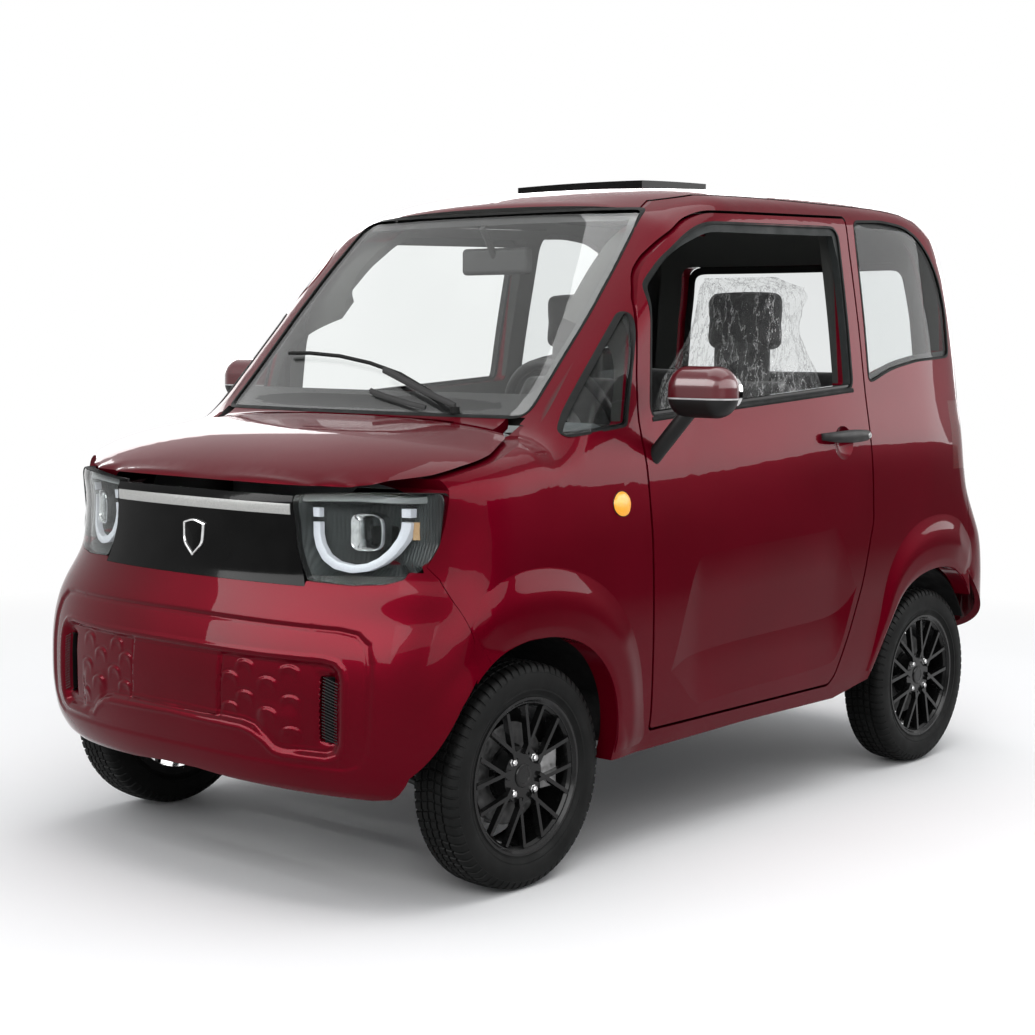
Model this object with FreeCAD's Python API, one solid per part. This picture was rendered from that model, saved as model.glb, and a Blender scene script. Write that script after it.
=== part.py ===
"""Small electric two-door city car, as an assembly of separate pieces.

+X is the car's left, -Y its front, +Z up. The origin is on the ground, under the middle of its length.
Lengths are millimetres. Tables named shares hold shares of one metre, with y back from the front axle.
"""

import math
import os

import FreeCAD, Part

V = FreeCAD.Vector
os.makedirs("parts", exist_ok=True)

# Driving sizes of the car
metre = 1000.0
wheelbase = 1800.0
front_overhang = 480.0
rear_overhang = 460.0
front_axle_y = front_overhang - (wheelbase + front_overhang + rear_overhang) / 2
rear_axle_y = front_axle_y + wheelbase

# Wheels and tyres
tyre_radius = 256.0
tyre_width = 128.0
tyre_crown = 13.0
rim_radius = 178.0
rim_seat_radius = 164.0
rim_wall = 6.0
rim_width = 112.0
rim_face_inset = 6.0
front_wheel_x = 598.0
rear_wheel_x = 587.0
hub_bore_radius = 24.0
hub_depth = 46.0
spoke_width = 9.0
spoke_depth = 15.0
spoke_splay = 20.0
lug_circle_radius = 50.0
lug_hole_radius = 6.2
disc_radius = 116.0
disc_thickness = 14.0
disc_bell_radius = 66.0
bearing_gap = 0.05
spindle_reach = 25.0
king_pin_x = 545.0
king_pin_radius = 9.0

# Panels
door_wall = 62.0
side_wall = 50.0
roof_wall = 28.0
hood_wall = 22.0
tailgate_wall = 40.0
bumper_wall = 14.0
trim_wall = 10.0
glass_wall = 4.0
glass_inset = 3.0
glass_pocket_inset = 24.0
glass_pocket_wall = 14.0
seat_gap = 0.3
shut_gap = 7.2
panel_gap = 3.0
reach = 900.0

# Edges of the body: how far each one rounds in
nose_round = 285.0
lamp_round = 318.0
hood_round = 72.0
hood_crown = 9.0
screen_round = 150.0
roof_round = 110.0
tail_round = 240.0
tail_pinch = 52.0
roof_crown = 14.0
screen_crown = 30.0
flare_depth = 11.0
flare_reach = 75.0
scoop_deep = 10.5
scoop_lip = 1.0
scoop_upper_slope = 0.040
scoop_lower_slope = 0.075
scoop_cover = 20.0
cup_radius = 47.0
cup_deep = 14.0
cup_y_share = 1.267
cup_z_share = 0.967

# The door hinge
hinge_x = 672.0
hinge_lead = 50.0
hinge_pin_radius = 3.5
hinge_eye_radius = 7.0
hinge_eye_height = 9.0
hinge_slot_height = 24.0
lid_pin_radius = 3.5
lid_eye_radius = 6.0
lid_eye_width = 12.0
lid_slot_width = 24.0
lid_skin_gap = 1.3
hood_gap = 9.5
hood_hinge_x = 380.0
gate_hinge_x = 250.0
hood_sweep_radius = 33.0
gate_sweep_radius = 31.5

# Shares of a metre. Profiles are (height, place behind the front axle), or (place, height).
nose_shares = [(0.15, -0.36), (0.215, -0.40), (0.26, -0.450), (0.34, -0.476), (0.45, -0.480),
               (0.54, -0.470), (0.62, -0.443), (0.70, -0.411), (0.77, -0.402), (0.86, -0.399),
               (0.92, -0.394), (1.10, -0.385)]
tail_shares = [(0.15, 2.17), (0.25, 2.20), (0.34, 2.240), (0.45, 2.257), (0.55, 2.255), (0.65, 2.235),
               (0.73, 2.190), (0.80, 2.153), (0.88, 2.140), (1.00, 2.144), (1.10, 2.146), (1.25, 2.142),
               (1.40, 2.128), (1.50, 2.095), (1.60, 2.040)]
top_shares = [(-0.50, 0.902), (-0.385, 0.934), (-0.33, 0.955), (-0.15, 1.003), (0.05, 1.037), (0.10, 1.050),
              (0.18, 1.122), (0.60, 1.559), (0.66, 1.587), (0.75, 1.613), (0.86, 1.630), (1.20, 1.646),
              (1.60, 1.650), (1.80, 1.642), (1.95, 1.612), (2.08, 1.550), (2.30, 1.42)]
front_side_shares = [(0.15, 0.640), (0.25, 0.660), (0.30, 0.676), (0.40, 0.684), (0.60, 0.687), (0.76, 0.682),
                     (0.86, 0.672), (0.95, 0.660), (1.03, 0.640), (1.10, 0.634), (1.38, 0.614), (1.70, 0.572)]
rear_side_shares = [(0.15, 0.640), (0.25, 0.660), (0.30, 0.676), (0.40, 0.684), (0.60, 0.687), (0.76, 0.687),
                    (0.90, 0.686), (0.98, 0.679), (1.05, 0.666), (1.12, 0.656), (1.30, 0.630), (1.70, 0.560)]

door_shares = [(0.419, 0.302), (0.414, 0.788), (0.412, 0.925), (0.408, 1.045), (0.408, 1.143), (0.416, 1.249),
               (0.446, 1.320), (0.491, 1.386), (0.532, 1.427), (0.588, 1.474), (0.669, 1.522), (0.742, 1.546),
               (1.405, 1.568), (1.408, 0.961), (1.426, 0.740), (1.379, 0.576), (1.309, 0.433), (1.250, 0.330),
               (1.222, 0.306)]
door_corner_shares = [0.010, 0.8, 0.8, 0.3, 0.3, 0.2, 0.12, 0.3, 0.3, 0.3, 0.25, 0.25, 0.012, 0.8, 0.08, 0.5,
                      0.5, 0.08, 0.03]
scoop_shares = [(0.450, 0.420), (0.503, 0.439), (0.567, 0.460), (0.750, 0.475), (1.000, 0.483),
                (1.209, 0.493), (1.285, 0.515), (1.335, 0.555), (1.400, 0.620)]
door_window_shares = [(0.458, 1.042), (0.478, 1.352), (0.553, 1.422), (0.627, 1.474), (0.697, 1.507),
                      (0.748, 1.519), (1.358, 1.538), (1.345, 1.102)]
door_window_corner_shares = [0.015, 0.030, 0.40, 0.35, 0.30, 0.30, 0.030, 0.020]
quarter_window_shares = [(1.432, 1.116), (1.447, 1.560), (1.600, 1.569), (1.724, 1.560), (1.803, 1.531),
                         (1.867, 1.484), (1.912, 1.420), (1.935, 1.336), (1.924, 1.190), (1.710, 1.178),
                         (1.564, 1.156)]
quarter_window_corner_shares = [0.015, 0.020, 0.60, 0.25, 0.20, 0.20, 0.20, 0.20, 0.025, 0.60, 0.60]
front_quarter_shares = [(0.142, 1.006), (0.424, 1.306), (0.362, 1.026)]
front_quarter_corner_shares = [0.006, 0.008, 0.012]
front_arch_shares = [(-0.335, -0.10), (-0.335, 0.300), (-0.294, 0.375), (-0.252, 0.452), (-0.196, 0.518),
                     (-0.125, 0.556), (-0.050, 0.571), (0.045, 0.571), (0.130, 0.550), (0.195, 0.513),
                     (0.243, 0.455), (0.268, 0.395), (0.281, 0.310), (0.285, -0.10)]
front_arch_corner_shares = [0.0, 0.2, 0.4] + [0.25] * 8 + [0.3, 0.5, 0.0]
rear_arch_shares = [(1.330, -0.10), (1.436, 0.306), (1.480, 0.380), (1.578, 0.522), (1.654, 0.563),
                    (1.747, 0.580), (1.813, 0.582), (1.882, 0.569), (1.941, 0.536), (1.986, 0.485),
                    (2.009, 0.423), (2.006, 0.375), (1.975, 0.340), (1.975, -0.10)]
rear_arch_corner_shares = [0.0, 0.1, 0.5, 0.12, 0.25, 0.3, 0.3, 0.25, 0.2, 0.12, 0.06, 0.05, 0.05, 0.0]
roof_line_shares = [(0.640, 1.548), (0.700, 1.574), (0.800, 1.592), (1.000, 1.597), (1.200, 1.599),
                    (1.600, 1.602), (1.750, 1.593), (1.830, 1.565), (1.886, 1.530)]
hood_side_shares = [(0.123, 1.027), (0.086, 1.006), (0.000, 0.984), (-0.074, 0.964), (-0.168, 0.942),
                    (-0.231, 0.924), (-0.287, 0.912), (-0.334, 0.905), (-0.370, 0.903)]
seam_shares = [(-0.226, 0.902), (-0.228, 0.883), (-0.234, 0.830), (-0.243, 0.788), (-0.256, 0.757),
               (-0.264, 0.741), (-0.248, 0.714), (-0.237, 0.665), (-0.213, 0.590)]
tail_seam_shares = [(1.985, 0.862), (1.885, 0.862), (1.885, 1.062), (1.990, 1.062), (1.990, 1.220),
                    (1.985, 1.300), (1.965, 1.380), (1.930, 1.450), (1.886, 1.500)]
side_outline_shares = ([(0.285, 0.249), (0.847, 0.262), (1.268, 0.262), (1.440, 0.297), (1.985, 0.300)]
                       + tail_seam_shares + roof_line_shares[::-1]
                       + [(0.60, 1.58), (0.00, 1.14), (0.123, 1.050)] + hood_side_shares[:6] + seam_shares
                       + [(-0.213, 0.300)])
hood_line_shares = (hood_side_shares[:7] + [(-0.334, 0.896), (-0.370, 0.8935), (-0.600, 0.8935),
                                            (-0.600, 1.30), (0.123, 1.30)])
bumper_low_shares = [(0.700, 0.100), (0.700, 0.335), (0.645, 0.290), (0.590, 0.250), (0.520, 0.240),
                     (0.350, 0.244), (0.170, 0.250), (0.060, 0.259)]
wiper_shares = [(0.319, 0.118), (0.266, 0.131), (0.206, 0.150), (0.075, 0.184), (-0.053, 0.208),
                (-0.181, 0.227), (-0.307, 0.241), (-0.393, 0.249)]
nose_zone_shares = [(-0.60, 0.10), (-0.60, 0.898), (-0.226, 0.898)] + seam_shares[1:] + [(-0.213, 0.10)]
screen_shares = [(0.515, 1.045), (0.512, 1.150), (0.511, 1.290), (0.502, 1.400), (0.488, 1.500),
                 (0.474, 1.553)]
screen_corner_shares = [0.02, 0.5, 0.5, 0.5, 0.3, 0.02, 0.02, 0.3, 0.5, 0.5, 0.5, 0.02]
lamp_shares = [(0.302, 0.884), (0.308, 0.830), (0.314, 0.775), (0.330, 0.733), (0.350, 0.701), (0.451, 0.697),
               (0.523, 0.702), (0.558, 0.714), (0.582, 0.732), (0.600, 0.757), (0.611, 0.788), (0.623, 0.883),
               (0.616, 0.896), (0.460, 0.894)]
lamp_corner_shares = [0.01, 0.3, 0.1, 0.1, 0.02, 0.3, 0.1, 0.08, 0.08, 0.08, 0.1, 0.02, 0.02, 0.5]
gate_half_shares = [(0.520, 0.640), (0.545, 0.840), (0.520, 1.080), (0.495, 1.340), (0.470, 1.460),
                    (0.440, 1.700)]
gate_corner_shares = [0.03, 0.1, 0.1, 0.1, 0.1, 0.0, 0.0, 0.1, 0.1, 0.1, 0.1, 0.03]


def at(share):
    return front_axle_y + metre * share


def blend(low, high, value):
    t = min(1.0, max(0.0, (value - low) / (high - low)))
    return t * t * (3 - 2 * t)


def table(shares, value):
    """A smooth curve through a table, straight beyond its ends."""
    points = [(metre * a, metre * b) for a, b in shares]
    count = len(points)
    if value <= points[0][0]:
        (a0, b0), (a1, b1) = points[0], points[1]
        return b0 + (b1 - b0) * (value - a0) / (a1 - a0)
    if value >= points[-1][0]:
        (a0, b0), (a1, b1) = points[-2], points[-1]
        return b1 + (b1 - b0) * (value - a1) / (a1 - a0)
    i = max(k for k in range(count - 1) if points[k][0] <= value)
    (a0, b0), (a1, b1) = points[i], points[i + 1]
    slope = (b1 - b0) / (a1 - a0)
    before = slope if i == 0 else (b1 - points[i - 1][1]) / (a1 - points[i - 1][0])
    after = slope if i + 2 >= count else (points[i + 2][1] - b0) / (points[i + 2][0] - a0)
    t = (value - a0) / (a1 - a0)
    span = a1 - a0
    return ((2 * t ** 3 - 3 * t ** 2 + 1) * b0 + (t ** 3 - 2 * t ** 2 + t) * span * before
            + (3 * t ** 2 - 2 * t ** 3) * b1 + (t ** 3 - t ** 2) * span * after)


def arch_flare(y, z, axle_y, spread):
    """How far the side swells out around a wheel opening."""
    distance = math.hypot((y - axle_y) / spread, z - tyre_radius) - (tyre_radius + flare_reach / 2)
    fade = 1 - blend(0.0, flare_reach, abs(distance))
    return flare_depth * fade * blend(0.0, tyre_radius / 2, z)


def half_width(y, z):
    front = table(front_side_shares, z)
    rear = table(rear_side_shares, z)
    mix = blend(at(0.40), at(1.40), y)
    width = front + (rear - front) * mix
    width += arch_flare(y, z, front_axle_y, 1.03) + arch_flare(y, z, rear_axle_y, 1.03)
    pinch = blend(at(1.70), at(2.40), y) * blend(metre * 0.65, metre * 1.05, z)
    return width - tail_pinch * pinch


def body_value(x, y, z, inset):
    """Below zero inside the body, above zero outside it."""
    upper = blend(at(0.02), at(0.20), y)
    x_share = abs(x) / (half_width(y, z) - inset)
    crown = hood_crown + (roof_crown - hood_crown) * upper
    crown += (screen_crown - roof_crown) * upper * (1 - blend(at(0.55), at(0.85), y))
    top = table(top_shares, y - front_axle_y) - crown * (x / (metre / 2)) ** 2 - inset
    slope = blend(at(0.05), at(0.20), y) * (1 - blend(at(0.55), at(0.80), y))
    top -= inset * 0.4 * slope
    top_round = hood_round + (screen_round - hood_round) * upper
    top_round += (roof_round - screen_round) * blend(at(0.55), at(0.85), y)
    power = 2.6 + 2.4 * upper
    q_top = max(0.0, 1 - (top - z) / top_round)
    brow = blend(metre * 0.58, metre * 0.72, z)
    round_here = nose_round + (lamp_round - nose_round) * brow
    q_nose = max(0.0, 1 - (y - inset - at(0) - table(nose_shares, z)) / round_here)
    tail = at(0) + table(tail_shares, z) - inset
    q_tail = max(0.0, 1 - (tail - y) / tail_round)
    side_power = 2.4 + 0.9 * blend(metre * 0.80, metre * 0.95, z) * (1 - upper)
    side_power += 2.4 * upper * (1 - blend(at(1.7), at(2.1), y))
    return x_share ** side_power + q_top ** power + q_nose ** (2.4 - 0.25 * brow) + q_tail ** 2.8 - 1


def hit(origin, way, inset):
    """The distance along a ray from inside the body to its skin."""
    near = 0.0
    far = metre * 1.6
    for _ in range(26):
        middle = (near + far) / 2
        p = origin + way * middle
        if body_value(p.x, p.y, p.z, inset) > 0:
            far = middle
        else:
            near = middle
    return origin + way * near


def places(start, end, count):
    """Pole places for a smooth sheet of this many poles."""
    spans = count - 3
    steps = [0.0, 1.0 / 3] + [float(k) for k in range(1, spans)] + [spans - 1.0 / 3, float(spans)]
    return [start + (end - start) * s / spans for s in steps]


def tightened(rows):
    """Poles moved so that the smooth sheet passes through the given points."""
    out = [list(row) for row in rows]
    for row in out:
        source = list(row)
        for k in range(2, len(row) - 2):
            row[k] = source[k] - (source[k - 1] - source[k] * 2 + source[k + 1]) * (1.0 / 6)
    source = [list(row) for row in out]
    for k in range(2, len(out) - 2):
        for j in range(len(out[k])):
            out[k][j] = source[k][j] - (source[k - 1][j] - source[k][j] * 2 + source[k + 1][j]) * (1.0 / 6)
    return out


def smooth_face(rows):
    poles = tightened(rows)
    surface = Part.BSplineSurface()
    knots = []
    for count in (len(poles), len(poles[0])):
        knots.append(([4] + [1] * (count - 4) + [4], [float(k) for k in range(count - 2)]))
    surface.buildFromPolesMultsKnots(poles, knots[0][0], knots[1][0], knots[0][1], knots[1][1],
                                     False, False, 3, 3)
    return surface


def thick(outer_rows, inner_rows):
    """A solid between two smooth sheets that share their grid."""
    outer = smooth_face(outer_rows)
    inner = smooth_face(inner_rows)
    faces = [outer.toShape(), inner.toShape()]
    for pick in (lambda s: s.uIso(s.bounds()[0]), lambda s: s.uIso(s.bounds()[1]),
                 lambda s: s.vIso(s.bounds()[2]), lambda s: s.vIso(s.bounds()[3])):
        faces.append(Part.makeRuledSurface(pick(outer).toShape(), pick(inner).toShape()))
    shell = Part.makeShell(faces)
    shell.sewShape()
    solid = Part.makeSolid(shell)
    return solid if solid.Volume > 0 else solid.reversed()


def sheet(rays, outer_inset, inner_inset):
    outer = [[hit(o, w, outer_inset) for o, w in row] for row in rays]
    inner = [[hit(o, w, inner_inset) for o, w in row] for row in rays]
    return thick(outer, inner)


def side_rays(y_start, y_end, y_count, level_count):
    rays = []
    for y in places(at(y_start), at(y_end), y_count):
        top = table(top_shares, y - front_axle_y)
        corner = V(metre * 0.30, y, top - metre * 0.30)
        row = []
        for share in places(0.0, 1.0, level_count):
            if share < 0.68:
                z = metre * 0.18 + (corner.z - metre * 0.18) * share / 0.68
                row.append((V(corner.x, y, z), V(1, 0, 0)))
            else:
                angle = math.radians(66) * (share - 0.68) / 0.32
                row.append((corner, V(math.cos(angle), 0, math.sin(angle))))
        rays.append(row)
    return rays


def top_rays(y_start, y_end, y_count, depth_share, spread, x_count):
    rays = []
    for y in places(at(y_start), at(y_end), y_count):
        z = table(top_shares, y - front_axle_y) - metre * depth_share
        rays.append([(V(0, y, z), V(math.sin(a), 0, math.cos(a)))
                     for a in places(-math.radians(spread), math.radians(spread), x_count)])
    return rays


def nose_rays(z_start, z_end, z_count, spread, x_count):
    rays = []
    for z in places(metre * z_start, metre * z_end, z_count):
        rays.append([(V(0, at(0.05), z), V(math.sin(a), -math.cos(a), 0))
                     for a in places(-math.radians(spread), math.radians(spread), x_count)])
    return rays


def tail_rays(low, high, level_count, spread, x_count):
    rays = []
    for e in places(math.radians(low), math.radians(high), level_count):
        rays.append([(V(0, at(1.55), metre * 1.0),
                      V(math.sin(a), math.cos(a) * math.cos(e), math.cos(a) * math.sin(e)))
                     for a in places(-math.radians(spread), math.radians(spread), x_count)])
    return rays


def outline(points, radii):
    """A closed wire with rounded corners."""
    ends = []
    count = len(points)
    for i in range(count):
        before, here, after = points[i - 1], points[i], points[(i + 1) % count]
        a = (before - here).normalize()
        b = (after - here).normalize()
        half = math.acos(max(-1.0, min(1.0, a.dot(b)))) / 2
        room = 0.49 * min((before - here).Length, (after - here).Length)
        cut = min(radii[i] / math.tan(half), room)
        if cut <= 0 or half > math.radians(89.5):
            ends.append((here, here, here))
            continue
        radius = cut * math.tan(half)
        centre = here + (a + b).normalize() * (radius / math.sin(half))
        ends.append((here + a * cut, centre - (a + b).normalize() * radius, here + b * cut))
    edges = []
    for i in range(count):
        start, middle, end = ends[i]
        if (start - end).Length > 0.001:
            edges.append(Part.Arc(start, middle, end).toShape())
        follow = ends[(i + 1) % count][0]
        if (follow - end).Length > 0.001:
            edges.append(Part.LineSegment(end, follow).toShape())
    return Part.Wire(edges)


def side_prism(shares, corners, grow):
    """A block running out along +X, drawn in side view."""
    wire = outline([V(0, at(y), metre * z) for y, z in shares], [metre * r for r in corners])
    if grow:
        wire = wire.makeOffset2D(grow)
    return Part.Face(wire).extrude(V(reach, 0, 0))


def front_prism(shares, corners, y_start, y_end, grow):
    """A block running along Y, drawn in front view."""
    wire = outline([V(metre * x, at(y_start), metre * z) for x, z in shares], [metre * r for r in corners])
    if grow:
        wire = wire.makeOffset2D(grow)
    return Part.Face(wire).extrude(V(0, at(y_end) - at(y_start), 0))


def both(points):
    return points + [(-x, z) for x, z in reversed(points)]


def box(x0, x1, y0, y1, z0, z1):
    """A block from shares of a metre, y counted from the front axle."""
    return Part.makeBox(metre * (x1 - x0), metre * (y1 - y0), metre * (z1 - z0),
                        V(metre * x0, at(y0), metre * z0))


def soft_box(x0, x1, y0, y1, z0, z1, radius):
    shape = box(x0, x1, y0, y1, z0, z1)
    return shape.makeFillet(metre * radius, shape.Edges)


def rod(a, b, radius):
    start = V(metre * a.x, at(a.y), metre * a.z)
    return Part.makeCylinder(metre * radius, metre * (b - a).Length, start, b - a)


def mirrored(shape):
    return shape.mirror(V(0, 0, 0), V(1, 0, 0))


def joined(shapes):
    result = shapes[0].fuse(shapes[1:]) if len(shapes) > 1 else shapes[0]
    return result.removeSplitter() if len(result.Solids) == 1 else result


def solids(shape, least):
    """The real pieces of a cut, without its slivers."""
    keep = [s for s in shape.Solids if s.Volume > least]
    return Part.makeCompound(keep) if len(keep) != 1 else keep[0]


def save(name, shape):
    bad = "" if shape.isValid() else " INVALID"
    box_ = shape.BoundBox
    print(name, len(shape.Solids), round(shape.Volume / 1000), "x", round(box_.XMin), round(box_.XMax), "y",
          round(box_.YMin), round(box_.YMax), "z", round(box_.ZMin), round(box_.ZMax), bad)
    shape.exportStep("parts/" + name + ".step")


crumb = (metre / 60) ** 3


def lid_sweep(radius, half, y, z):
    """The room that a lid's edge needs as it turns about its hinge."""
    return Part.makeCylinder(radius, metre * half * 2, V(-metre * half, y, z), V(1, 0, 0))


def lid_hinge(x, y, z, back, seat_y, seat_z):
    """An eye on an arm for a lid, with the lid's pin and the slot around them; back is +1 or -1 along Y."""
    half = lid_eye_width / 2
    drop = lid_eye_radius * 4
    bar = lid_eye_radius * 1.6
    near, far = sorted((y - back * lid_eye_radius, y + back * lid_eye_radius / 2))
    start, end = sorted((y - back * lid_eye_radius, seat_y))
    stem_start, stem_end = sorted((seat_y, seat_y + back * bar))
    shapes = [Part.makeCylinder(lid_eye_radius, lid_eye_width, V(x - half, y, z), V(1, 0, 0)),
              Part.makeBox(lid_eye_width, far - near, drop + bar, V(x - half, near, z - drop - bar)),
              Part.makeBox(lid_eye_width, end - start, bar, V(x - half, start, z - drop - bar)),
              Part.makeBox(lid_eye_width, stem_end - stem_start, seat_z - z + drop + bar,
                           V(x - half, stem_start, z - drop - bar))]
    bore = Part.makeCylinder(lid_pin_radius + bearing_gap, lid_eye_width, V(x - half, y, z), V(1, 0, 0))
    arm = joined(shapes).cut([bore])
    half = lid_slot_width / 2
    pin = Part.makeCylinder(lid_pin_radius, lid_slot_width * 1.5, V(x - half * 1.5, y, z), V(1, 0, 0))
    room = lid_eye_radius + lid_skin_gap
    slot_start = y - room * 1.1 - back * room * 0.3
    slot = Part.makeBox(lid_slot_width, room * 2.2, drop + room, V(x - half, slot_start, z - drop))
    edge_start, edge_end = sorted((y - back * room, y + back * room * 2))
    low = z - drop - bar - lid_skin_gap
    edge = Part.makeBox(lid_slot_width, edge_end - edge_start, z + room - low, V(x - half, edge_start, low))
    return arm, pin, [slot, edge]

# Body sides
rays = side_rays(-0.34, 2.07, 54, 30)
side_full = sheet(rays, 0.0, side_wall)
door_full = sheet(rays, 0.0, door_wall)
glass_full = sheet(rays, glass_inset, glass_inset + glass_wall)

door_opening = side_prism(door_shares, door_corner_shares, shut_gap / 2)
door_block = side_prism(door_shares, door_corner_shares, -shut_gap / 2)
door_window = side_prism(door_window_shares, door_window_corner_shares, 0)
quarter_window = side_prism(quarter_window_shares, quarter_window_corner_shares, 0)
front_quarter = side_prism(front_quarter_shares, front_quarter_corner_shares, 0)
front_arch = side_prism(front_arch_shares, front_arch_corner_shares, 0)
rear_arch = side_prism(rear_arch_shares, rear_arch_corner_shares, 0)
screen_points = both(screen_shares)
screen_opening = front_prism(screen_points, screen_corner_shares, -0.30, 1.0, 0)

side_edge = [0.0] * len(side_outline_shares)
tail_skin = sheet(tail_rays(-46, 66, 44, 68, 48), 0.0, bumper_wall)
gate_shares = both(gate_half_shares)
gate_gap = front_prism(gate_shares, gate_corner_shares, 1.75, 2.60, shut_gap)
wheel_room = Part.makeCylinder(metre * 0.290, metre * 0.300, V(metre * 0.367, rear_axle_y, tyre_radius),
                               V(1, 0, 0))
side = side_full.common(side_prism(side_outline_shares, side_edge, 0))
side = side.cut([door_opening, quarter_window, front_quarter, front_arch, rear_arch, screen_opening,
                 box(0.0, 0.515, 0.05, 0.16, 0.80, 1.0452), wheel_room])
side = solids(side, crumb * 100)

door = door_full.common(door_block).cut([door_window])
door = solids(door, crumb)

# A shallow scoop runs along the door's foot, and the handle bridges a round cup
def scoop_depth(y, z, upper):
    """How deep the scoop's upper or lower face lies; below zero it is outside the skin."""
    share_y = y - front_axle_y
    fade = blend(metre * 0.46, metre * 0.62, share_y) * (1 - blend(metre * 1.23, metre * 1.37, share_y))
    rise = z - table(scoop_shares, share_y)
    slope = scoop_upper_slope if upper else -scoop_lower_slope
    return max(-scoop_cover / 2, scoop_deep * fade - scoop_lip - rise * slope)


def scoop_sheet(rays, upper, cover):
    outer = []
    inner = []
    for row in rays:
        skin = [hit(o, w, 0.0) for o, w in row]
        outer.append([hit(o, w, -cover) for o, w in row])
        inner.append([hit(ray[0], ray[1], scoop_depth(p.y, p.z, upper)) for ray, p in zip(row, skin)])
    return thick(outer, inner)


scoop_zone = box(0.55, 0.75, 0.44, 1.40, 0.28, 0.80)
scoop = scoop_sheet(side_rays(0.42, 1.42, 40, 40), True, scoop_cover).common(scoop_zone)
scoop_foot = scoop_sheet(side_rays(0.43, 1.41, 40, 40), False, scoop_cover * 0.8).common(scoop_zone)
scoop = scoop.common(scoop_foot)
cup_skin = hit(V(metre * 0.30, at(cup_y_share), metre * cup_z_share), V(1, 0, 0), 0.0)
cup_ball_radius = (cup_radius ** 2 + cup_deep ** 2) / (cup_deep * 2)
cup = Part.makeSphere(cup_ball_radius, cup_skin + V(cup_ball_radius - cup_deep, 0, 0))
door = solids(door.cut([scoop, cup]), crumb)

# The door hangs on two pins; the eyes around them belong to the body side
hinge_y = at(0.420) + hinge_lead
eyes = []
pins = []
slots = []
for share in (0.42, 0.70):
    z = metre * share
    low = z - hinge_eye_height / 2
    eyes.append(Part.makeCylinder(hinge_eye_radius, hinge_eye_height, V(hinge_x, hinge_y, low)))
    eyes.append(Part.makeBox(metre * 0.072, hinge_eye_radius * 2, hinge_eye_height,
                             V(hinge_x - metre * 0.072, hinge_y - hinge_eye_radius, low)))
    eyes.append(Part.makeBox(metre * 0.012, metre * 0.102, hinge_eye_height,
                             V(hinge_x - metre * 0.072, hinge_y - metre * 0.095, low)))
    eyes.append(Part.makeBox(metre * 0.050, metre * 0.014, hinge_eye_height,
                             V(hinge_x - metre * 0.072, hinge_y - metre * 0.095, low)))
    pins.append(Part.makeCylinder(hinge_pin_radius, hinge_slot_height + shut_gap,
                                  V(hinge_x, hinge_y, z - (hinge_slot_height + shut_gap) / 2)))
    slots.append(Part.makeBox(metre * 0.128, metre * 0.075, hinge_slot_height,
                              V(hinge_x - metre * 0.1197, hinge_y - metre * 0.062,
                                 z - hinge_slot_height / 2)))
side = side.fuse(eyes)
side = side.cut([Part.makeCylinder(hinge_pin_radius + bearing_gap, metre, V(hinge_x, hinge_y, metre * 0.36))])
save("body_side_left", side)
save("body_side_right", mirrored(side))
rays_door = side_rays(0.40, 1.46, 26, 30)
pocket_inset = glass_pocket_inset - glass_wall
pocket = sheet(rays_door, pocket_inset, pocket_inset + glass_pocket_wall)
pocket_shares = [(0.512, 0.592), (0.512, 1.10), (1.338, 1.16), (1.338, 0.592)]
pocket = pocket.common(side_prism(pocket_shares, [0.01] * 4, 0))
door_solid = door
door = door.cut(slots + [pocket]).fuse(pins)
door = solids(door, crumb)
save("door_left", door)
save("door_right", mirrored(door))

# Fixed side glass and door glass
quarter_glass = glass_full.common(side_prism(quarter_window_shares, quarter_window_corner_shares, -seat_gap))
front_glass = glass_full.common(side_prism(front_quarter_shares, front_quarter_corner_shares, -seat_gap))
fixed = [solids(quarter_glass, 0), solids(front_glass, 0)]
save("fixed_side_glass", Part.makeCompound(fixed + [mirrored(s) for s in fixed]))
raised = solids(glass_full.common(side_prism(door_window_shares, door_window_corner_shares, -seat_gap)), 0)
save("door_glass_right", mirrored(raised))

# Roof, windshield and tailgate
roof_full = sheet(top_rays(0.50, 1.99, 40, 0.80, 42, 36), 0.0, roof_wall)
screen_full = sheet(top_rays(0.02, 0.84, 30, 0.80, 42, 36), glass_inset, glass_inset + glass_wall)
roof_shares = ([(0.42, 1.70), (0.640, 1.55)] + [(y, z + 0.003) for y, z in roof_line_shares]
               + [(1.886, 1.80), (0.42, 1.80)])
roof_block = side_prism(roof_shares, [0.0] * len(roof_shares), 0)
roof = roof_full.common(roof_block.fuse(mirrored(roof_block)))
sun_opening = box(-0.19, 0.19, 0.993, 1.230, 1.40, 1.80)
gate_hinge_y = at(1.910)
gate_hinge_z = metre * 1.6002
gate_sweep = lid_sweep(gate_sweep_radius, 0.225, gate_hinge_y, gate_hinge_z)
roof = solids(roof.cut([screen_opening, sun_opening, gate_sweep]), crumb)
gate_arm, gate_pin, gate_slot = lid_hinge(gate_hinge_x, gate_hinge_y, gate_hinge_z, -1,
                                          at(1.884), metre * 1.605)
roof = joined([roof, gate_arm, mirrored(gate_arm)])
save("roof_panel", roof)
side_zone = side_prism(side_outline_shares, side_edge, seat_gap)
roof_zone = side_prism(roof_shares, [0.0] * len(roof_shares), seat_gap)
corner = tail_skin.common(box(0.20, 0.70, 1.85, 2.40, 1.062, 1.62)).cut([gate_gap, side_zone, roof_zone])
corner = solids(corner, crumb / 9)
save("rear_corner_posts", Part.makeCompound([corner, mirrored(corner)]))
sunroof = sheet(top_rays(0.86, 1.36, 16, 0.80, 30, 20), -metre * 0.022, -seat_gap)
save("sunroof_panel", solids(sunroof.common(box(-0.22, 0.22, 0.963, 1.260, 1.40, 1.80)), 0))
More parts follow.
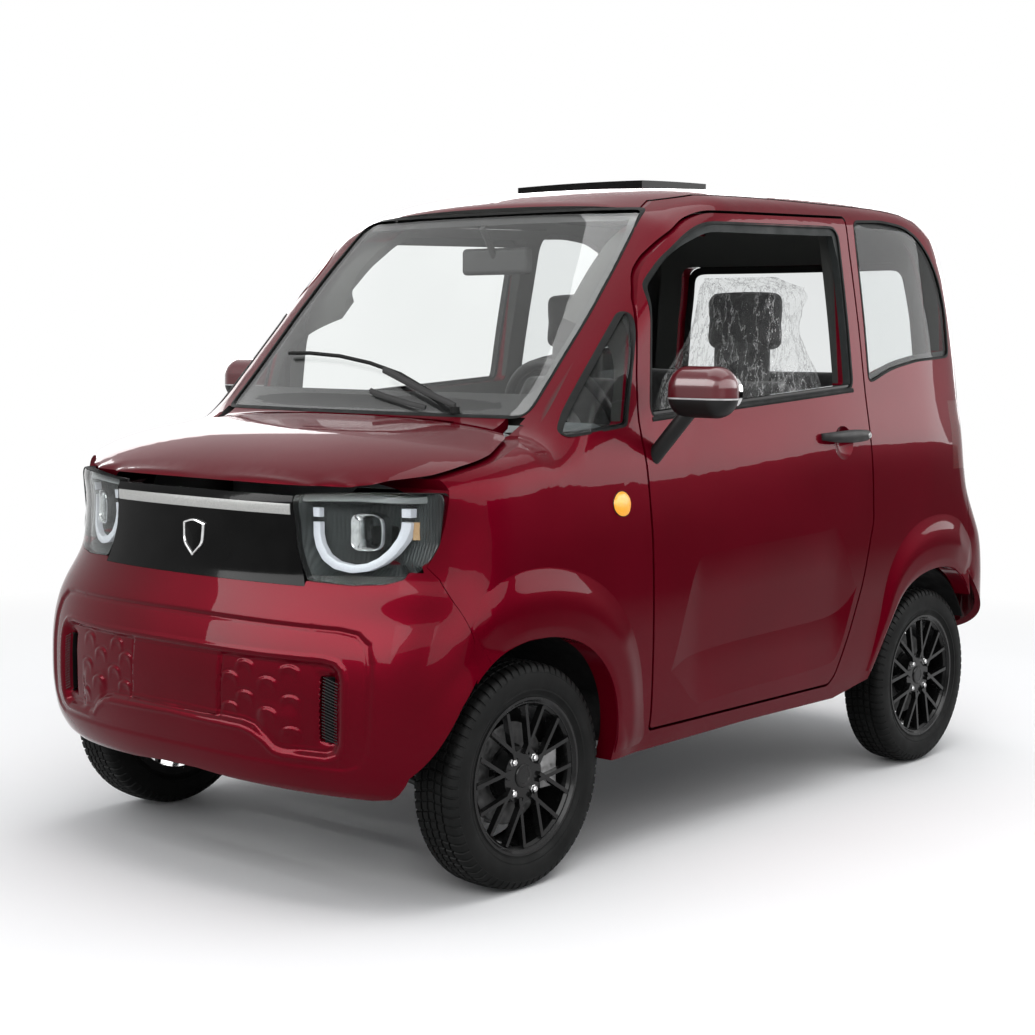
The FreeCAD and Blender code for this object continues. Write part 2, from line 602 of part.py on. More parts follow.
screen = screen_full.common(front_prism(screen_points, screen_corner_shares, -0.30, 1.0, -seat_gap))
save("windshield", solids(screen, 0))

tail_full = sheet(tail_rays(-32, 66, 34, 48, 40), 0.0, tailgate_wall)
tail_glass_full = sheet(tail_rays(-32, 62, 34, 48, 40), glass_inset, glass_inset + glass_wall)
gate_prism = front_prism(gate_shares, gate_corner_shares, 1.90, 2.60, 0)
gate_glass_shares = both([(0.455, 1.085), (0.435, 1.300), (0.405, 1.475)])
gate_glass_corners = [0.04, 0.1, 0.04, 0.04, 0.1, 0.04]
gate = tail_full.common(gate_prism)
gate = solids(gate.cut([front_prism(gate_glass_shares, gate_glass_corners, 1.6, 2.6, 0)]), crumb)
gate = gate.cut(gate_slot + [mirrored(cutter) for cutter in gate_slot])
gate = joined([gate, gate_pin, mirrored(gate_pin)])
save("tailgate", gate)
gate_glass = tail_glass_full.common(front_prism(gate_glass_shares, gate_glass_corners, 1.6, 2.6, -seat_gap))
save("tailgate_glass", solids(gate_glass, 0))

# Rear bumper and tail lamps
bumper_zone = box(-0.70, 0.70, 1.9853, 2.40, 0.30, 0.858)
rear_bumper = solids(tail_skin.common(bumper_zone).cut([gate_gap, rear_arch, mirrored(rear_arch)]), crumb)
save("rear_bumper", rear_bumper)
lamp_zone = box(-0.70, 0.70, 1.8853, 2.40, 0.8623, 1.0617)
tail_lamps = solids(tail_skin.common(lamp_zone).cut([gate_gap]), crumb)
save("tail_lamps", tail_lamps)

# Nose: bumper, grille panel, headlamps, hood
nose_full = sheet(nose_rays(0.17, 0.93, 36, 70, 56), 0.0, bumper_wall)
nose_zone = side_prism(nose_zone_shares, [0.0] * len(nose_zone_shares), -panel_gap)
nose_zone = nose_zone.fuse(mirrored(nose_zone))
bumper_low = front_prism(both(bumper_low_shares), [0.0] * 16, -0.60, 0.10, 0)
nose_skin = nose_full.common(nose_zone).cut([front_arch, mirrored(front_arch), bumper_low])
lamp_prism = front_prism(lamp_shares, lamp_corner_shares, -0.60, -0.10, 0)
lamp_gap = front_prism(lamp_shares, lamp_corner_shares, -0.60, -0.10, seat_gap)
lamp = solids(nose_skin.common(lamp_prism), crumb / 9)
save("headlamps", Part.makeCompound([lamp, mirrored(lamp)]))
grille_shares = both([(0.345, 0.689), (0.328, 0.733), (0.312, 0.775), (0.306, 0.830), (0.300, 0.881)])
grille_prism = front_prism(grille_shares, [0.0] * 10, -0.60, -0.246, 0)
grille = nose_skin.common(grille_prism).cut([lamp_gap, mirrored(lamp_gap)])
save("grille_panel", solids(grille, crumb))
grille_gap = front_prism(grille_shares, [0.0] * 10, -0.60, -0.10, seat_gap)
upper_gap = box(-0.62, 0.62, -0.60, -0.10, 0.80, 0.95)
bumper = nose_skin.cut([lamp_gap, mirrored(lamp_gap), grille_gap, upper_gap])
save("front_bumper", solids(bumper, crumb))

hood_full = sheet(top_rays(-0.47, 0.16, 30, 0.60, 48, 44), 0.0, hood_wall)
hood_cut = side_prism(hood_line_shares, [0.0] * len(hood_line_shares), -hood_gap)
hood = hood_full.common(hood_cut.fuse(mirrored(hood_cut)))
hood = solids(hood.common(box(-0.70, 0.70, -0.60, 0.066, 0.80, 1.30)), crumb)
hood_hinge_y = at(0.056)
hood_hinge_z = metre * 1.0146
hood_arm, hood_pin, hood_slot = lid_hinge(hood_hinge_x, hood_hinge_y, hood_hinge_z, 1,
                                          at(0.086), metre * 1.015)
hood = hood.cut(hood_slot + [mirrored(cutter) for cutter in hood_slot])
hood = joined([hood, hood_pin, mirrored(hood_pin)])
save("hood", hood)
cowl = hood_full.common(box(-0.470, 0.470, 0.080, 0.135, 0.90, 1.0447))
cowl = solids(cowl.cut([lid_sweep(hood_sweep_radius, 0.350, hood_hinge_y, hood_hinge_z)]), crumb)
cowl = joined([cowl, hood_arm, mirrored(hood_arm)])
save("cowl_panel", cowl)

# Chassis
frame = [box(-0.40, 0.40, -0.40, -0.36, 0.34, 0.46), box(-0.40, 0.40, 2.14, 2.18, 0.40, 0.50)]
frame += [box(-0.36, 0.36, y, y + 0.06, 0.230, 0.275) for y in (-0.16, 0.36, 1.39)]
frame.append(box(-0.36, 0.36, 2.08, 2.14, 0.44, 0.50))
for s in (-0.33, 0.33):
    low = s - 0.03
    high = s + 0.03
    frame += [box(low, high, -0.16, 1.45, 0.230, 0.275), box(low, high, 1.39, 1.45, 0.275, 0.50),
              box(low, high, 1.39, 2.14, 0.44, 0.50), box(low, high, -0.40, -0.10, 0.34, 0.40),
              box(low, high, -0.16, -0.10, 0.275, 0.58), box(low, high, 0.10, 0.16, 0.275, 0.58),
              box(low, high, -0.16, 0.16, 0.555, 0.58), box(low, high, -0.10, 0.10, 0.38, 0.42)]
    inner, outer = sorted((s * 1.0, s * 1.39))
    frame.append(box(inner, outer, -0.05, 0.05, 0.555, 0.58))
    frame.append(box(*sorted((s * 1.2, s * 1.38)), -0.01, 0.01, 0.57, 0.5895))
    inner, outer = sorted((s * 1.0, s * 1.833))
    frame += [box(inner, outer, y, y + 0.05, 0.262, 0.279) for y in (0.50, 1.10)]
    inner, outer = sorted((s * 1.0, s * 1.30))
    frame.append(box(inner, outer, 1.235, 1.2597, 0.230, 0.275))
    bumper_room = sheet(nose_rays(0.30, 0.45, 8, 50, 30), -metre * 0.02, bumper_wall + seat_gap)
    horn = box(low, high, -0.455, -0.39, 0.34, 0.40).cut([bumper_room])
    frame.append(horn)
save("chassis_frame", joined(frame))
save("battery_pack", box(-0.28, 0.28, 0.45, 1.34, 0.215, 0.2797))

floor = [box(-0.615, 0.615, 0.335, 1.330, 0.280, 0.295), box(-0.615, 0.615, 0.320, 0.335, 0.280, 0.6397),
         box(-0.370, 0.370, 1.330, 1.345, 0.280, 0.610), box(-0.480, 0.480, 1.345, 2.090, 0.595, 0.610),
         box(-0.480, 0.480, 2.090, 2.105, 0.550, 0.610)]
for s in (-1, 1):
    low, high = sorted((s * 0.370, s * 0.615))
    floor.append(box(low, high, 1.330, 1.345, 0.280, 0.630))
    low, high = sorted((s * 0.470, s * 0.615))
    floor.append(box(low, high, 1.345, 2.105, 0.615, 0.630))
    floor.append(box(low, high, 1.790, 1.810, 0.5783, 0.620))
    low, high = sorted((s * 0.470, s * 0.480))
    floor.append(box(low, high, 1.330, 2.105, 0.595, 0.630))
sill = box(0.60, 0.66, 0.50, 1.15, 0.280, 0.295)
sill = sill.cut([sheet(side_rays(0.40, 1.25, 10, 30), -metre * 0.02, side_wall + seat_gap)])
sill = [piece for piece in sill.Solids if piece.BoundBox.XMin < metre * 0.605]
floor += sill + [mirrored(piece) for piece in sill]
save("floor_pan", joined(floor))


liners = []
for axle, radius, x0 in ((front_axle_y, 0.338, 0.386), (rear_axle_y, 0.322, 0.482)):
    shell = Part.makeCylinder(metre * radius, metre * (0.621 - x0), V(metre * x0, axle, tyre_radius),
                              V(1, 0, 0))
    shell = shell.cut([Part.makeCylinder(metre * (radius - 0.004), metre, V(0, axle, tyre_radius),
                                         V(1, 0, 0)),
                       Part.makeBox(metre, metre, metre, V(0, axle - metre / 2, -metre * 0.60))])
    shell = shell.cut([box(0.585, 0.70, -0.42, -0.255, 0.30, 0.70)])
    liners += [shell, mirrored(shell)]
save("wheel_liners", Part.makeCompound(liners))

# Doors: trims, glass in the left door, handles and mirrors
trim_full = sheet(side_rays(0.40, 1.46, 26, 30), door_wall + seat_gap, door_wall + seat_gap + trim_wall)
trim_shares = [(0.56, 0.40), (0.56, 0.98), (1.32, 1.02), (1.32, 0.66), (1.23, 0.42)]
trim = trim_full.common(side_prism(trim_shares, [0.03] * 5, 0))
save("door_trim_left", solids(trim, crumb))
save("door_trim_right", mirrored(solids(trim, crumb)))
low_glass_full = sheet(side_rays(0.40, 1.46, 26, 30), glass_pocket_inset, glass_pocket_inset + glass_wall)
low_glass_shares = [(0.520, 0.5923), (0.520, 1.050), (1.330, 1.090), (1.330, 0.5923)]
low_glass = solids(low_glass_full.common(side_prism(low_glass_shares, [0.01] * 4, 0)), 0)
save("door_glass_left", low_glass)

handle = box(0.672, 0.712, 1.167, 1.379, 0.964, 0.990)
handle = handle.cut([box(0.60, 0.700, 1.192, 1.354, 0.90, 1.10)])
handle = handle.cut([door])
save("door_handle_left", handle)
save("door_handle_right", mirrored(handle))
mirror_head = soft_box(0.697, 0.873, 0.409, 0.513, 1.046, 1.166, 0.050)
stalk = rod(V(0.645, 0.452, 0.942), V(0.765, 0.461, 1.080), 0.019)
mirror = solids(joined([mirror_head, stalk]).cut([door_solid]), crumb)
save("door_mirror_left", mirror)
save("door_mirror_right", mirrored(mirror))


def ring(profile, centre_x, axle_y):
    """A solid of revolution about a wheel's axle; the profile holds (out along the axle, radius)."""
    points = [V(centre_x + a, axle_y, tyre_radius + r) for a, r in profile]
    face = Part.Face(Part.makePolygon(points + points[:1]))
    return face.revolve(V(centre_x, axle_y, tyre_radius), V(1, 0, 0), 360)


def disc(radius, x0, x1, axle_y):
    return Part.makeCylinder(radius, x1 - x0, V(x0, axle_y, tyre_radius), V(1, 0, 0))


def rim_shape(x, axle_y):
    half = rim_width / 2
    lip = rim_radius - rim_seat_radius
    barrel = [(-half, rim_radius), (-half + rim_wall, rim_radius), (-half + rim_wall, rim_seat_radius),
              (half - rim_wall, rim_seat_radius), (half - rim_wall, rim_radius), (half, rim_radius),
              (half, rim_radius - rim_wall), (half - lip, rim_seat_radius - rim_wall),
              (-half, rim_seat_radius - rim_wall)]
    face_x = x + half - rim_face_inset
    pieces = [ring(barrel, x, axle_y),
              disc(lug_circle_radius + hub_bore_radius / 2, face_x - hub_depth,
                   face_x - spoke_depth / 2, axle_y),
              disc(disc_bell_radius, x - disc_thickness, face_x - hub_depth, axle_y),
              disc(disc_radius, x - disc_thickness, x, axle_y)]
    for k in range(16):
        angle = math.radians(360 / 16 * k)
        lean = math.radians(spoke_splay) * (1 if k % 2 else -1)
        inner = V(0, math.cos(angle + lean), math.sin(angle + lean)) * (lug_circle_radius)
        outer = V(0, math.cos(angle), math.sin(angle)) * (rim_seat_radius - rim_wall / 2)
        across = (outer - inner).cross(V(1, 0, 0)).normalize() * (spoke_width / 2)
        base = V(face_x - spoke_depth, axle_y, tyre_radius)
        points = [base + inner - across, base + outer - across, base + outer + across, base + inner + across]
        pieces.append(Part.Face(Part.makePolygon(points + points[:1])).extrude(V(spoke_depth, 0, 0)))
    rim = joined(pieces)
    holes = [disc(hub_bore_radius, x - reach / 2, face_x - spoke_depth * 1.5, axle_y)]
    for k in range(4):
        angle = math.radians(90 * k + 45)
        spot = V(face_x - hub_depth / 2, axle_y + math.cos(angle) * lug_circle_radius,
                 tyre_radius + math.sin(angle) * lug_circle_radius)
        holes.append(Part.makeCylinder(lug_hole_radius, hub_depth, spot, V(1, 0, 0)))
    return rim.cut(holes)


def tyre_shape(x, axle_y):
    half = tyre_width / 2
    bead = rim_width / 2 - rim_wall - seat_gap
    seat = rim_seat_radius + seat_gap
    lip = rim_radius + seat_gap
    outer = tyre_radius
    section = [(-bead, seat), (bead, seat), (bead, lip), (bead + rim_wall + seat_gap, lip),
               (half * 0.97, lip + (outer - lip) * 0.2), (half, lip + (outer - lip) * 0.45),
               (half * 0.97, lip + (outer - lip) * 0.70), (half * 0.88, outer - tyre_crown * 1.4),
               (half * 0.72, outer - tyre_crown * 0.35), (half * 0.36, outer), (-half * 0.36, outer),
               (-half * 0.72, outer - tyre_crown * 0.35), (-half * 0.88, outer - tyre_crown * 1.4),
               (-half * 0.97, lip + (outer - lip) * 0.70), (-half, lip + (outer - lip) * 0.45),
               (-half * 0.97, lip + (outer - lip) * 0.2), (-bead - rim_wall - seat_gap, lip), (-bead, lip)]
    return ring(section, x, axle_y)


for place, x, axle_y in (("front", front_wheel_x, front_axle_y), ("rear", rear_wheel_x, rear_axle_y)):
    rim = rim_shape(x, axle_y)
    tyre = tyre_shape(x, axle_y)
    save("rim_" + place + "_left", rim)
    save("rim_" + place + "_right", mirrored(rim))
    save("tyre_" + place + "_left", tyre)
    save("tyre_" + place + "_right", mirrored(tyre))

# Front knuckle, carrying the spindle and the brake caliper
king = king_pin_x / metre
spindle = disc(hub_bore_radius - bearing_gap, king_pin_x, front_wheel_x + spindle_reach, front_axle_y)
upright = box(king - 0.022, king + 0.018, -0.03, 0.03, 0.175, 0.345)
knuckle = joined([upright, spindle, box(king - 0.022, king + 0.012, -0.03, 0.135, 0.23, 0.28),
                  box(king + 0.008, king + 0.022, 0.070, 0.140, 0.21, 0.30),
                  box(king + 0.008, king + 0.074, 0.124, 0.140, 0.21, 0.30),
                  box(king + 0.062, king + 0.074, 0.085, 0.140, 0.21, 0.30)])
for z0, z1 in ((0.160, 0.190), (0.320, 0.350)):
    knuckle = knuckle.cut([Part.makeCylinder(king_pin_radius + bearing_gap, metre * (z1 - z0),
                                             V(king_pin_x, front_axle_y, metre * z0))])
save("front_knuckle_left", knuckle)
save("front_knuckle_right", mirrored(knuckle))

arms = []
for y in (-0.10, 0.10):
    arms.append(rod(V(0.345, y, 0.235), V(king, 0, 0.147), 0.010))
    arms.append(rod(V(0.345, y * 0.55, 0.400), V(king, 0, 0.363), 0.010))
arms.append(Part.makeCylinder(metre * 0.016, metre * 0.022, V(king_pin_x, front_axle_y, metre * 0.136)))
arms.append(Part.makeCylinder(metre * 0.016, metre * 0.022, V(king_pin_x, front_axle_y, metre * 0.352)))
arms.append(Part.makeCylinder(king_pin_radius, metre * 0.040, V(king_pin_x, front_axle_y, metre * 0.145)))
arms.append(Part.makeCylinder(king_pin_radius, metre * 0.035, V(king_pin_x, front_axle_y, metre * 0.325)))
arms.append(Part.makeCylinder(metre * 0.028, metre * 0.355, V(metre * 0.42, front_axle_y, metre * 0.19)))
arms.append(box(0.37, 0.455, -0.04, 0.04, 0.540, 0.5547))
left_arms = joined(arms).cut([box(0.20, 0.3603, -0.4, 0.4, 0.10, 0.70)])
save("front_suspension", Part.makeCompound([left_arms, mirrored(left_arms),
                                            rod(V(-0.2997, 0.12, 0.30), V(0.2997, 0.12, 0.30), 0.022)]))

# Rear axle with its motor, and the springs over it
axle = [Part.makeCylinder(metre * 0.030, metre * 0.96, V(-metre * 0.48, rear_axle_y, tyre_radius),
                          V(1, 0, 0)),
        Part.makeCylinder(metre * 0.085, metre * 0.26, V(-metre * 0.16, rear_axle_y, tyre_radius),
                          V(1, 0, 0)),
        Part.makeCylinder(metre * 0.080, metre * 0.22,
                          V(-metre * 0.06, rear_axle_y - metre * 0.12, tyre_radius + metre * 0.02),
                          V(1, 0, 0))]
for s in (-1, 1):
    length = rear_wheel_x + spindle_reach - metre * 0.47
    start = V(s * metre * 0.47, rear_axle_y, tyre_radius)
    axle.append(Part.makeCylinder(hub_bore_radius - bearing_gap, length, start, V(s, 0, 0)))
    axle.append(Part.makeCylinder(metre * 0.075, metre * 0.02, V(s * metre * 0.50, rear_axle_y, tyre_radius),
                                  V(s, 0, 0)))
save("rear_axle", joined(axle))
springs = []
for s in (-1, 1):
    springs.append(rod(V(s * 0.40, 1.80, 0.2863), V(s * 0.40, 1.80, 0.5947), 0.034))
    springs.append(rod(V(s * 0.41, 1.26, 0.252), V(s * 0.41, 1.7697, 0.252), 0.016))
save("rear_suspension", Part.makeCompound(springs))

# Cabin
dash_profile = [(0.200, 0.985), (0.330, 1.030), (0.430, 1.000), (0.450, 0.930), (0.430, 0.800),
                (0.370, 0.720), (0.350, 0.640), (0.200, 0.640)]
dash = Part.Face(outline([V(-metre * 0.565, at(y), metre * z) for y, z in dash_profile],
                         [metre * 0.02] * 8)).extrude(V(metre * 1.13, 0, 0))
wheel_centre = V(0.300, 0.540, 1.010)
wheel_way = V(0, 0.92, 0.39).normalize()
wheel_spot = V(metre * wheel_centre.x, at(wheel_centre.y), metre * wheel_centre.z)
column = Part.makeCylinder(metre * 0.030, metre * 0.100, wheel_spot - wheel_way * (metre * 0.170), wheel_way)
column_bore = Part.makeCylinder(metre * 0.014 + bearing_gap, metre * 0.200,
                                wheel_spot - wheel_way * (metre * 0.150), wheel_way)
save("dashboard", joined([dash, column]).cut([column_bore]))
steering = [Part.makeTorus(metre * 0.170, metre * 0.013, wheel_spot, wheel_way),
            Part.makeCylinder(metre * 0.055, metre * 0.040, wheel_spot - wheel_way * (metre * 0.032),
                              wheel_way),
            Part.makeCylinder(metre * 0.014, metre * 0.120, wheel_spot - wheel_way * (metre * 0.145),
                              wheel_way)]
for angle in (0, 180, 270):
    turn = math.radians(angle)
    way = V(math.cos(turn), 0, 0) - wheel_way.cross(V(1, 0, 0)) * math.sin(turn)
    steering.append(Part.makeCylinder(metre * 0.010, metre * 0.165,
                                      wheel_spot - wheel_way * (metre * 0.008), way))
save("steering_wheel", joined(steering))


def seat(x0, x1, y):
    """A front seat on its rails, with its headrest."""
    middle = (x0 + x1) / 2
    base = soft_box(x0, x1, y, y + 0.46, 0.46, 0.60, 0.04)
    back = soft_box(x0, x1, 0.0, 0.12, 0.0, 0.60, 0.045)
    back.translate(V(0, -at(0), 0))
    back.rotate(V(0, 0, 0), V(1, 0, 0), -14)
    back.translate(V(0, at(y + 0.40), metre * 0.57))
    head = soft_box(middle - 0.125, middle + 0.125, y + 0.575, y + 0.665, 1.195, 1.375, 0.035)
    posts = [rod(V(middle - 0.05, y + 0.600, 1.11), V(middle - 0.05, y + 0.620, 1.22), 0.007),
             rod(V(middle + 0.05, y + 0.600, 1.11), V(middle + 0.05, y + 0.620, 1.22), 0.007)]
    rails = [box(x0 + 0.05, x0 + 0.08, y + 0.02, y + 0.44, 0.2955, 0.47),
             box(x1 - 0.08, x1 - 0.05, y + 0.02, y + 0.44, 0.2955, 0.47)]
    return joined([base, back, head] + posts + rails)


seats = [seat(0.075, 0.525, 0.73), seat(-0.525, -0.075, 0.73)]
save("front_seats", Part.makeCompound(seats))
bench = joined([soft_box(-0.50, 0.50, 1.475, 1.86, 0.645, 0.76, 0.035),
                soft_box(-0.50, 0.50, 1.80, 1.90, 0.70, 1.16, 0.035),
                box(-0.36, 0.36, 1.50, 1.84, 0.6105, 0.66)])
save("rear_bench", bench)
mirror_plate = soft_box(-0.115, 0.115, 0.610, 0.640, 1.395, 1.465, 0.012)
mirror_stem = joined([mirror_plate, rod(V(0, 0.618, 1.44), V(0, 0.556, 1.530), 0.009)])
mirror_stem = mirror_stem.cut([sheet(top_rays(0.44, 0.72, 10, 0.80, 12, 8), -metre * 0.03,
                                     glass_inset + glass_wall + seat_gap)])
save("interior_mirror", solids(mirror_stem, crumb))
trim_rays = side_rays(0.40, 1.98, 36, 30)
lining = sheet(trim_rays, side_wall + seat_gap, side_wall + seat_gap + trim_wall)
lining = lining.common(side_prism([(1.45, 0.66), (1.45, 1.08), (1.95, 1.14), (1.95, 0.66)], [0.02] * 4, 0))
lining = solids(lining, crumb)
save("cabin_trim", Part.makeCompound([lining, mirrored(lining)]))
wiper_points = []
for x, y in wiper_shares:
    foot = V(metre * x, at(y), metre * 0.90)
    wiper_points.append(hit(foot, V(0, 0, 1), -metre * 0.009))
sweep = []
for start, end in zip(wiper_points, wiper_points[1:]):
    sweep.append(Part.makeCylinder(metre * 0.005, (end - start).Length, start, end - start))
    sweep.append(Part.makeSphere(metre * 0.005, end))
pivot_foot = hit(V(metre * 0.319, at(0.118), metre * 0.90), V(0, 0, 1), glass_inset)
sweep.append(Part.makeCylinder(metre * 0.011, metre * 0.016, pivot_foot, V(0, 0, 1)))
wiper = joined(sweep).cut([sheet(top_rays(0.02, 0.34, 16, 0.80, 42, 36), glass_inset - seat_gap, hood_wall)])
wiper = solids(wiper, 0)
save("wiper", wiper)
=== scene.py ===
"""The small electric car dressed for the camera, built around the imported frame."""
import math

import bmesh
import bpy
import numpy as np
from mathutils import Matrix, Vector, noise


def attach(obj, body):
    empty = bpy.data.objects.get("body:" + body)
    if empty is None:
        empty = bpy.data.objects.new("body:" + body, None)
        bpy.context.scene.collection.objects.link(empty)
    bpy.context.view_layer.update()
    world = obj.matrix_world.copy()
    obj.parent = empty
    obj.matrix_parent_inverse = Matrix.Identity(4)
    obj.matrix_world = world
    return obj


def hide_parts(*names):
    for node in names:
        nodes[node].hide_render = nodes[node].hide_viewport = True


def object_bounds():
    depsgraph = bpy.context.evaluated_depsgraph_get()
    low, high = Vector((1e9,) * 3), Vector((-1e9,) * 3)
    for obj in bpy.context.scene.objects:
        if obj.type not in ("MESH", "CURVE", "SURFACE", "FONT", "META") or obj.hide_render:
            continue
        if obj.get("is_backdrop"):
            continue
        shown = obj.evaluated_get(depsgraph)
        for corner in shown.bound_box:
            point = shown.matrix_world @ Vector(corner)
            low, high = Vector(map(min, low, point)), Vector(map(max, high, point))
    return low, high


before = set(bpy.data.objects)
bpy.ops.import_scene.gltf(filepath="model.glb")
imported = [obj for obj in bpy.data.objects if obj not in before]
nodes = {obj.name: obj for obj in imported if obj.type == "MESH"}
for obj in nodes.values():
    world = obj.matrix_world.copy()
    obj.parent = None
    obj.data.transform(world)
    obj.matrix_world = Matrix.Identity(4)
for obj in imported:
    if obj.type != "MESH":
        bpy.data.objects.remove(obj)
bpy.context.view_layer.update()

AXLE = -0.890          # the front axle's place along Y in the row's frame
REAR_AXLE = 1.800      # behind the front axle
TYRE_RADIUS = 0.256

# ---------------------------------------------------------------- materials


class Tree:
    """The nodes of a material or of the world, filled in step by step."""

    def __init__(self, holder, ending):
        holder.use_nodes = True
        self.tree = holder.node_tree
        self.tree.nodes.clear()
        self.out = self.node(ending)

    def node(self, kind, **values):
        made = self.tree.nodes.new(kind)
        for key, value in values.items():
            setattr(made, key, value)
        return made

    def link(self, start, end):
        self.tree.links.new(start, end)

    def math(self, kind, a, b=None):
        made = self.node("ShaderNodeMath", operation=kind)
        for socket, value in zip(made.inputs, (a, b)):
            if value is None:
                continue
            if isinstance(value, (int, float)):
                socket.default_value = value
            else:
                self.link(value, socket)
        return made.outputs[0]

    def times(self, first, *others):
        for value in others:
            first = self.math("MULTIPLY", first, value)
        return first

    def seen(self):
        """1 for a ray from the camera, off a mirror or through glass."""
        ray = self.node("ShaderNodeLightPath").outputs
        direct = self.math("MAXIMUM", ray["Is Camera Ray"], ray["Is Glossy Ray"])
        return self.math("MAXIMUM", direct, ray["Is Transmission Ray"])

    def mixed(self, share, first, second):
        """The output shows first where share is 0 and second where it is 1."""
        mix = self.node("ShaderNodeMixShader")
        for source, socket in zip((share, first, second), mix.inputs):
            self.link(source, socket)
        self.link(mix.outputs[0], self.out.inputs[0])
        return self


class Maker(Tree):
    """A node material with one main shader."""

    def __init__(self, name):
        self.material = bpy.data.materials.new(name)
        super().__init__(self.material, "ShaderNodeOutputMaterial")
        self.shader = self.node("ShaderNodeBsdfPrincipled")
        self.link(self.shader.outputs[0], self.out.inputs[0])
        self.coordinates = self.node("ShaderNodeTexCoord")
        self.place = self.coordinates.outputs["Object"]

    def set(self, **values):
        for key, value in values.items():
            self.shader.inputs[key.replace("_", " ")].default_value = value
        return self

    def noise(self, scale, detail=2.0, rough=0.5):
        made = self.node("ShaderNodeTexNoise")
        made.inputs["Scale"].default_value = scale
        made.inputs["Detail"].default_value = detail
        made.inputs["Roughness"].default_value = rough
        self.link(self.place, made.inputs["Vector"])
        return made.outputs["Fac"]

    def cells(self, scale):
        made = self.node("ShaderNodeTexVoronoi")
        made.inputs["Scale"].default_value = scale
        self.link(self.place, made.inputs["Vector"])
        return made.outputs["Distance"]

    def span(self, value, low, high, start=0.0, end=1.0):
        made = self.node("ShaderNodeMapRange")
        for key, number in (("From Min", low), ("From Max", high), ("To Min", start), ("To Max", end)):
            made.inputs[key].default_value = number
        self.link(value, made.inputs["Value"])
        return made.outputs["Result"]

    def two_tone(self, share, first, second):
        mix = self.node("ShaderNodeMix", data_type="RGBA")
        for source, index in ((share, 0), (first, 6), (second, 7)):
            self.link(source, mix.inputs[index])
        return mix.outputs[2]

    def ramp(self, value, stops):
        made = self.node("ShaderNodeValToRGB")
        line = made.color_ramp
        while len(line.elements) < len(stops):
            line.elements.new(0.5)
        for element, (place, colour) in zip(line.elements, stops):
            element.position = place
            element.color = (*colour, 1.0)
        self.link(value, made.inputs[0])
        return made.outputs[0]

    def colour(self, value, dark, light, low=0.35, high=0.65):
        self.link(self.ramp(value, [(low, dark), (high, light)]), self.shader.inputs["Base Color"])
        return self

    def rough(self, value, low, high):
        self.link(self.span(value, 0.3, 0.7, low, high), self.shader.inputs["Roughness"])
        return self

    def bump(self, value, distance, strength=1.0):
        made = self.node("ShaderNodeBump")
        made.inputs["Strength"].default_value = strength
        made.inputs["Distance"].default_value = distance
        self.link(value, made.inputs["Height"])
        self.link(made.outputs[0], self.shader.inputs["Normal"])
        return self

    def split(self, vector):
        made = self.node("ShaderNodeSeparateXYZ")
        self.link(vector, made.inputs[0])
        return made.outputs

    def axis(self, index):
        return self.split(self.place)[index]

    def shadeless_glass(self, tint):
        """Light passes through on its way to the cabin, as thin glass lets it."""
        path = self.node("ShaderNodeLightPath")
        clear = self.node("ShaderNodeBsdfTransparent")
        clear.inputs[0].default_value = (*tint, 1.0)
        return self.mixed(path.outputs["Is Shadow Ray"], self.shader.outputs[0], clear.outputs[0])


def tone(value):
    return (value, value, value)


def plastic(name, dark, light, rough=0.5, grain=900.0, depth=0.0002, coat=0.0, specular=0.4):
    made = Maker(name)
    made.colour(made.noise(14.0, 3.0), dark, light)
    made.rough(made.noise(30.0, 3.0), rough * 0.85, rough * 1.15)
    made.bump(made.noise(grain, 2.0), depth, 0.6)
    return made.set(Coat_Weight=coat, Coat_Roughness=0.05, Coat_IOR=1.14,
                    Specular_IOR_Level=specular).material


def cabin_faces(made, facing):
    """1 on those faces of a body side or door that belong to the cabin though they look outward."""
    x, y, z = made.split(made.place)
    across = made.math("ABSOLUTE", x)

    def within(low, high, fade):
        """Nearer the middle of the car than a line that goes from low at the belt to high at the roof."""
        line = made.span(z, 1.03, 1.54, low, high)
        return made.span(made.math("SUBTRACT", line, across), 0.0, fade)

    above_belt = made.span(z, 1.000, 1.006)
    ahead = made.math("MAXIMUM", made.span(y, 0.665, 0.660), made.span(facing[1], -0.5, -0.55))
    screen = made.times(made.math("SUBTRACT", z, 1.05), 0.982)
    behind = made.span(made.math("SUBTRACT", y, screen), AXLE + 0.160, AXLE + 0.166)
    behind = made.times(behind, within(0.560, 0.505, 0.003), made.span(z, 1.50, 1.49))
    level = made.math("MAXIMUM", made.span(facing[2], 0.30, 0.25), behind)
    jamb = made.times(within(0.620, 0.572, 0.002), above_belt, level, ahead)
    under = made.times(made.span(facing[2], -0.10, -0.16), above_belt)
    return made.math("MAXIMUM", jamb, under)


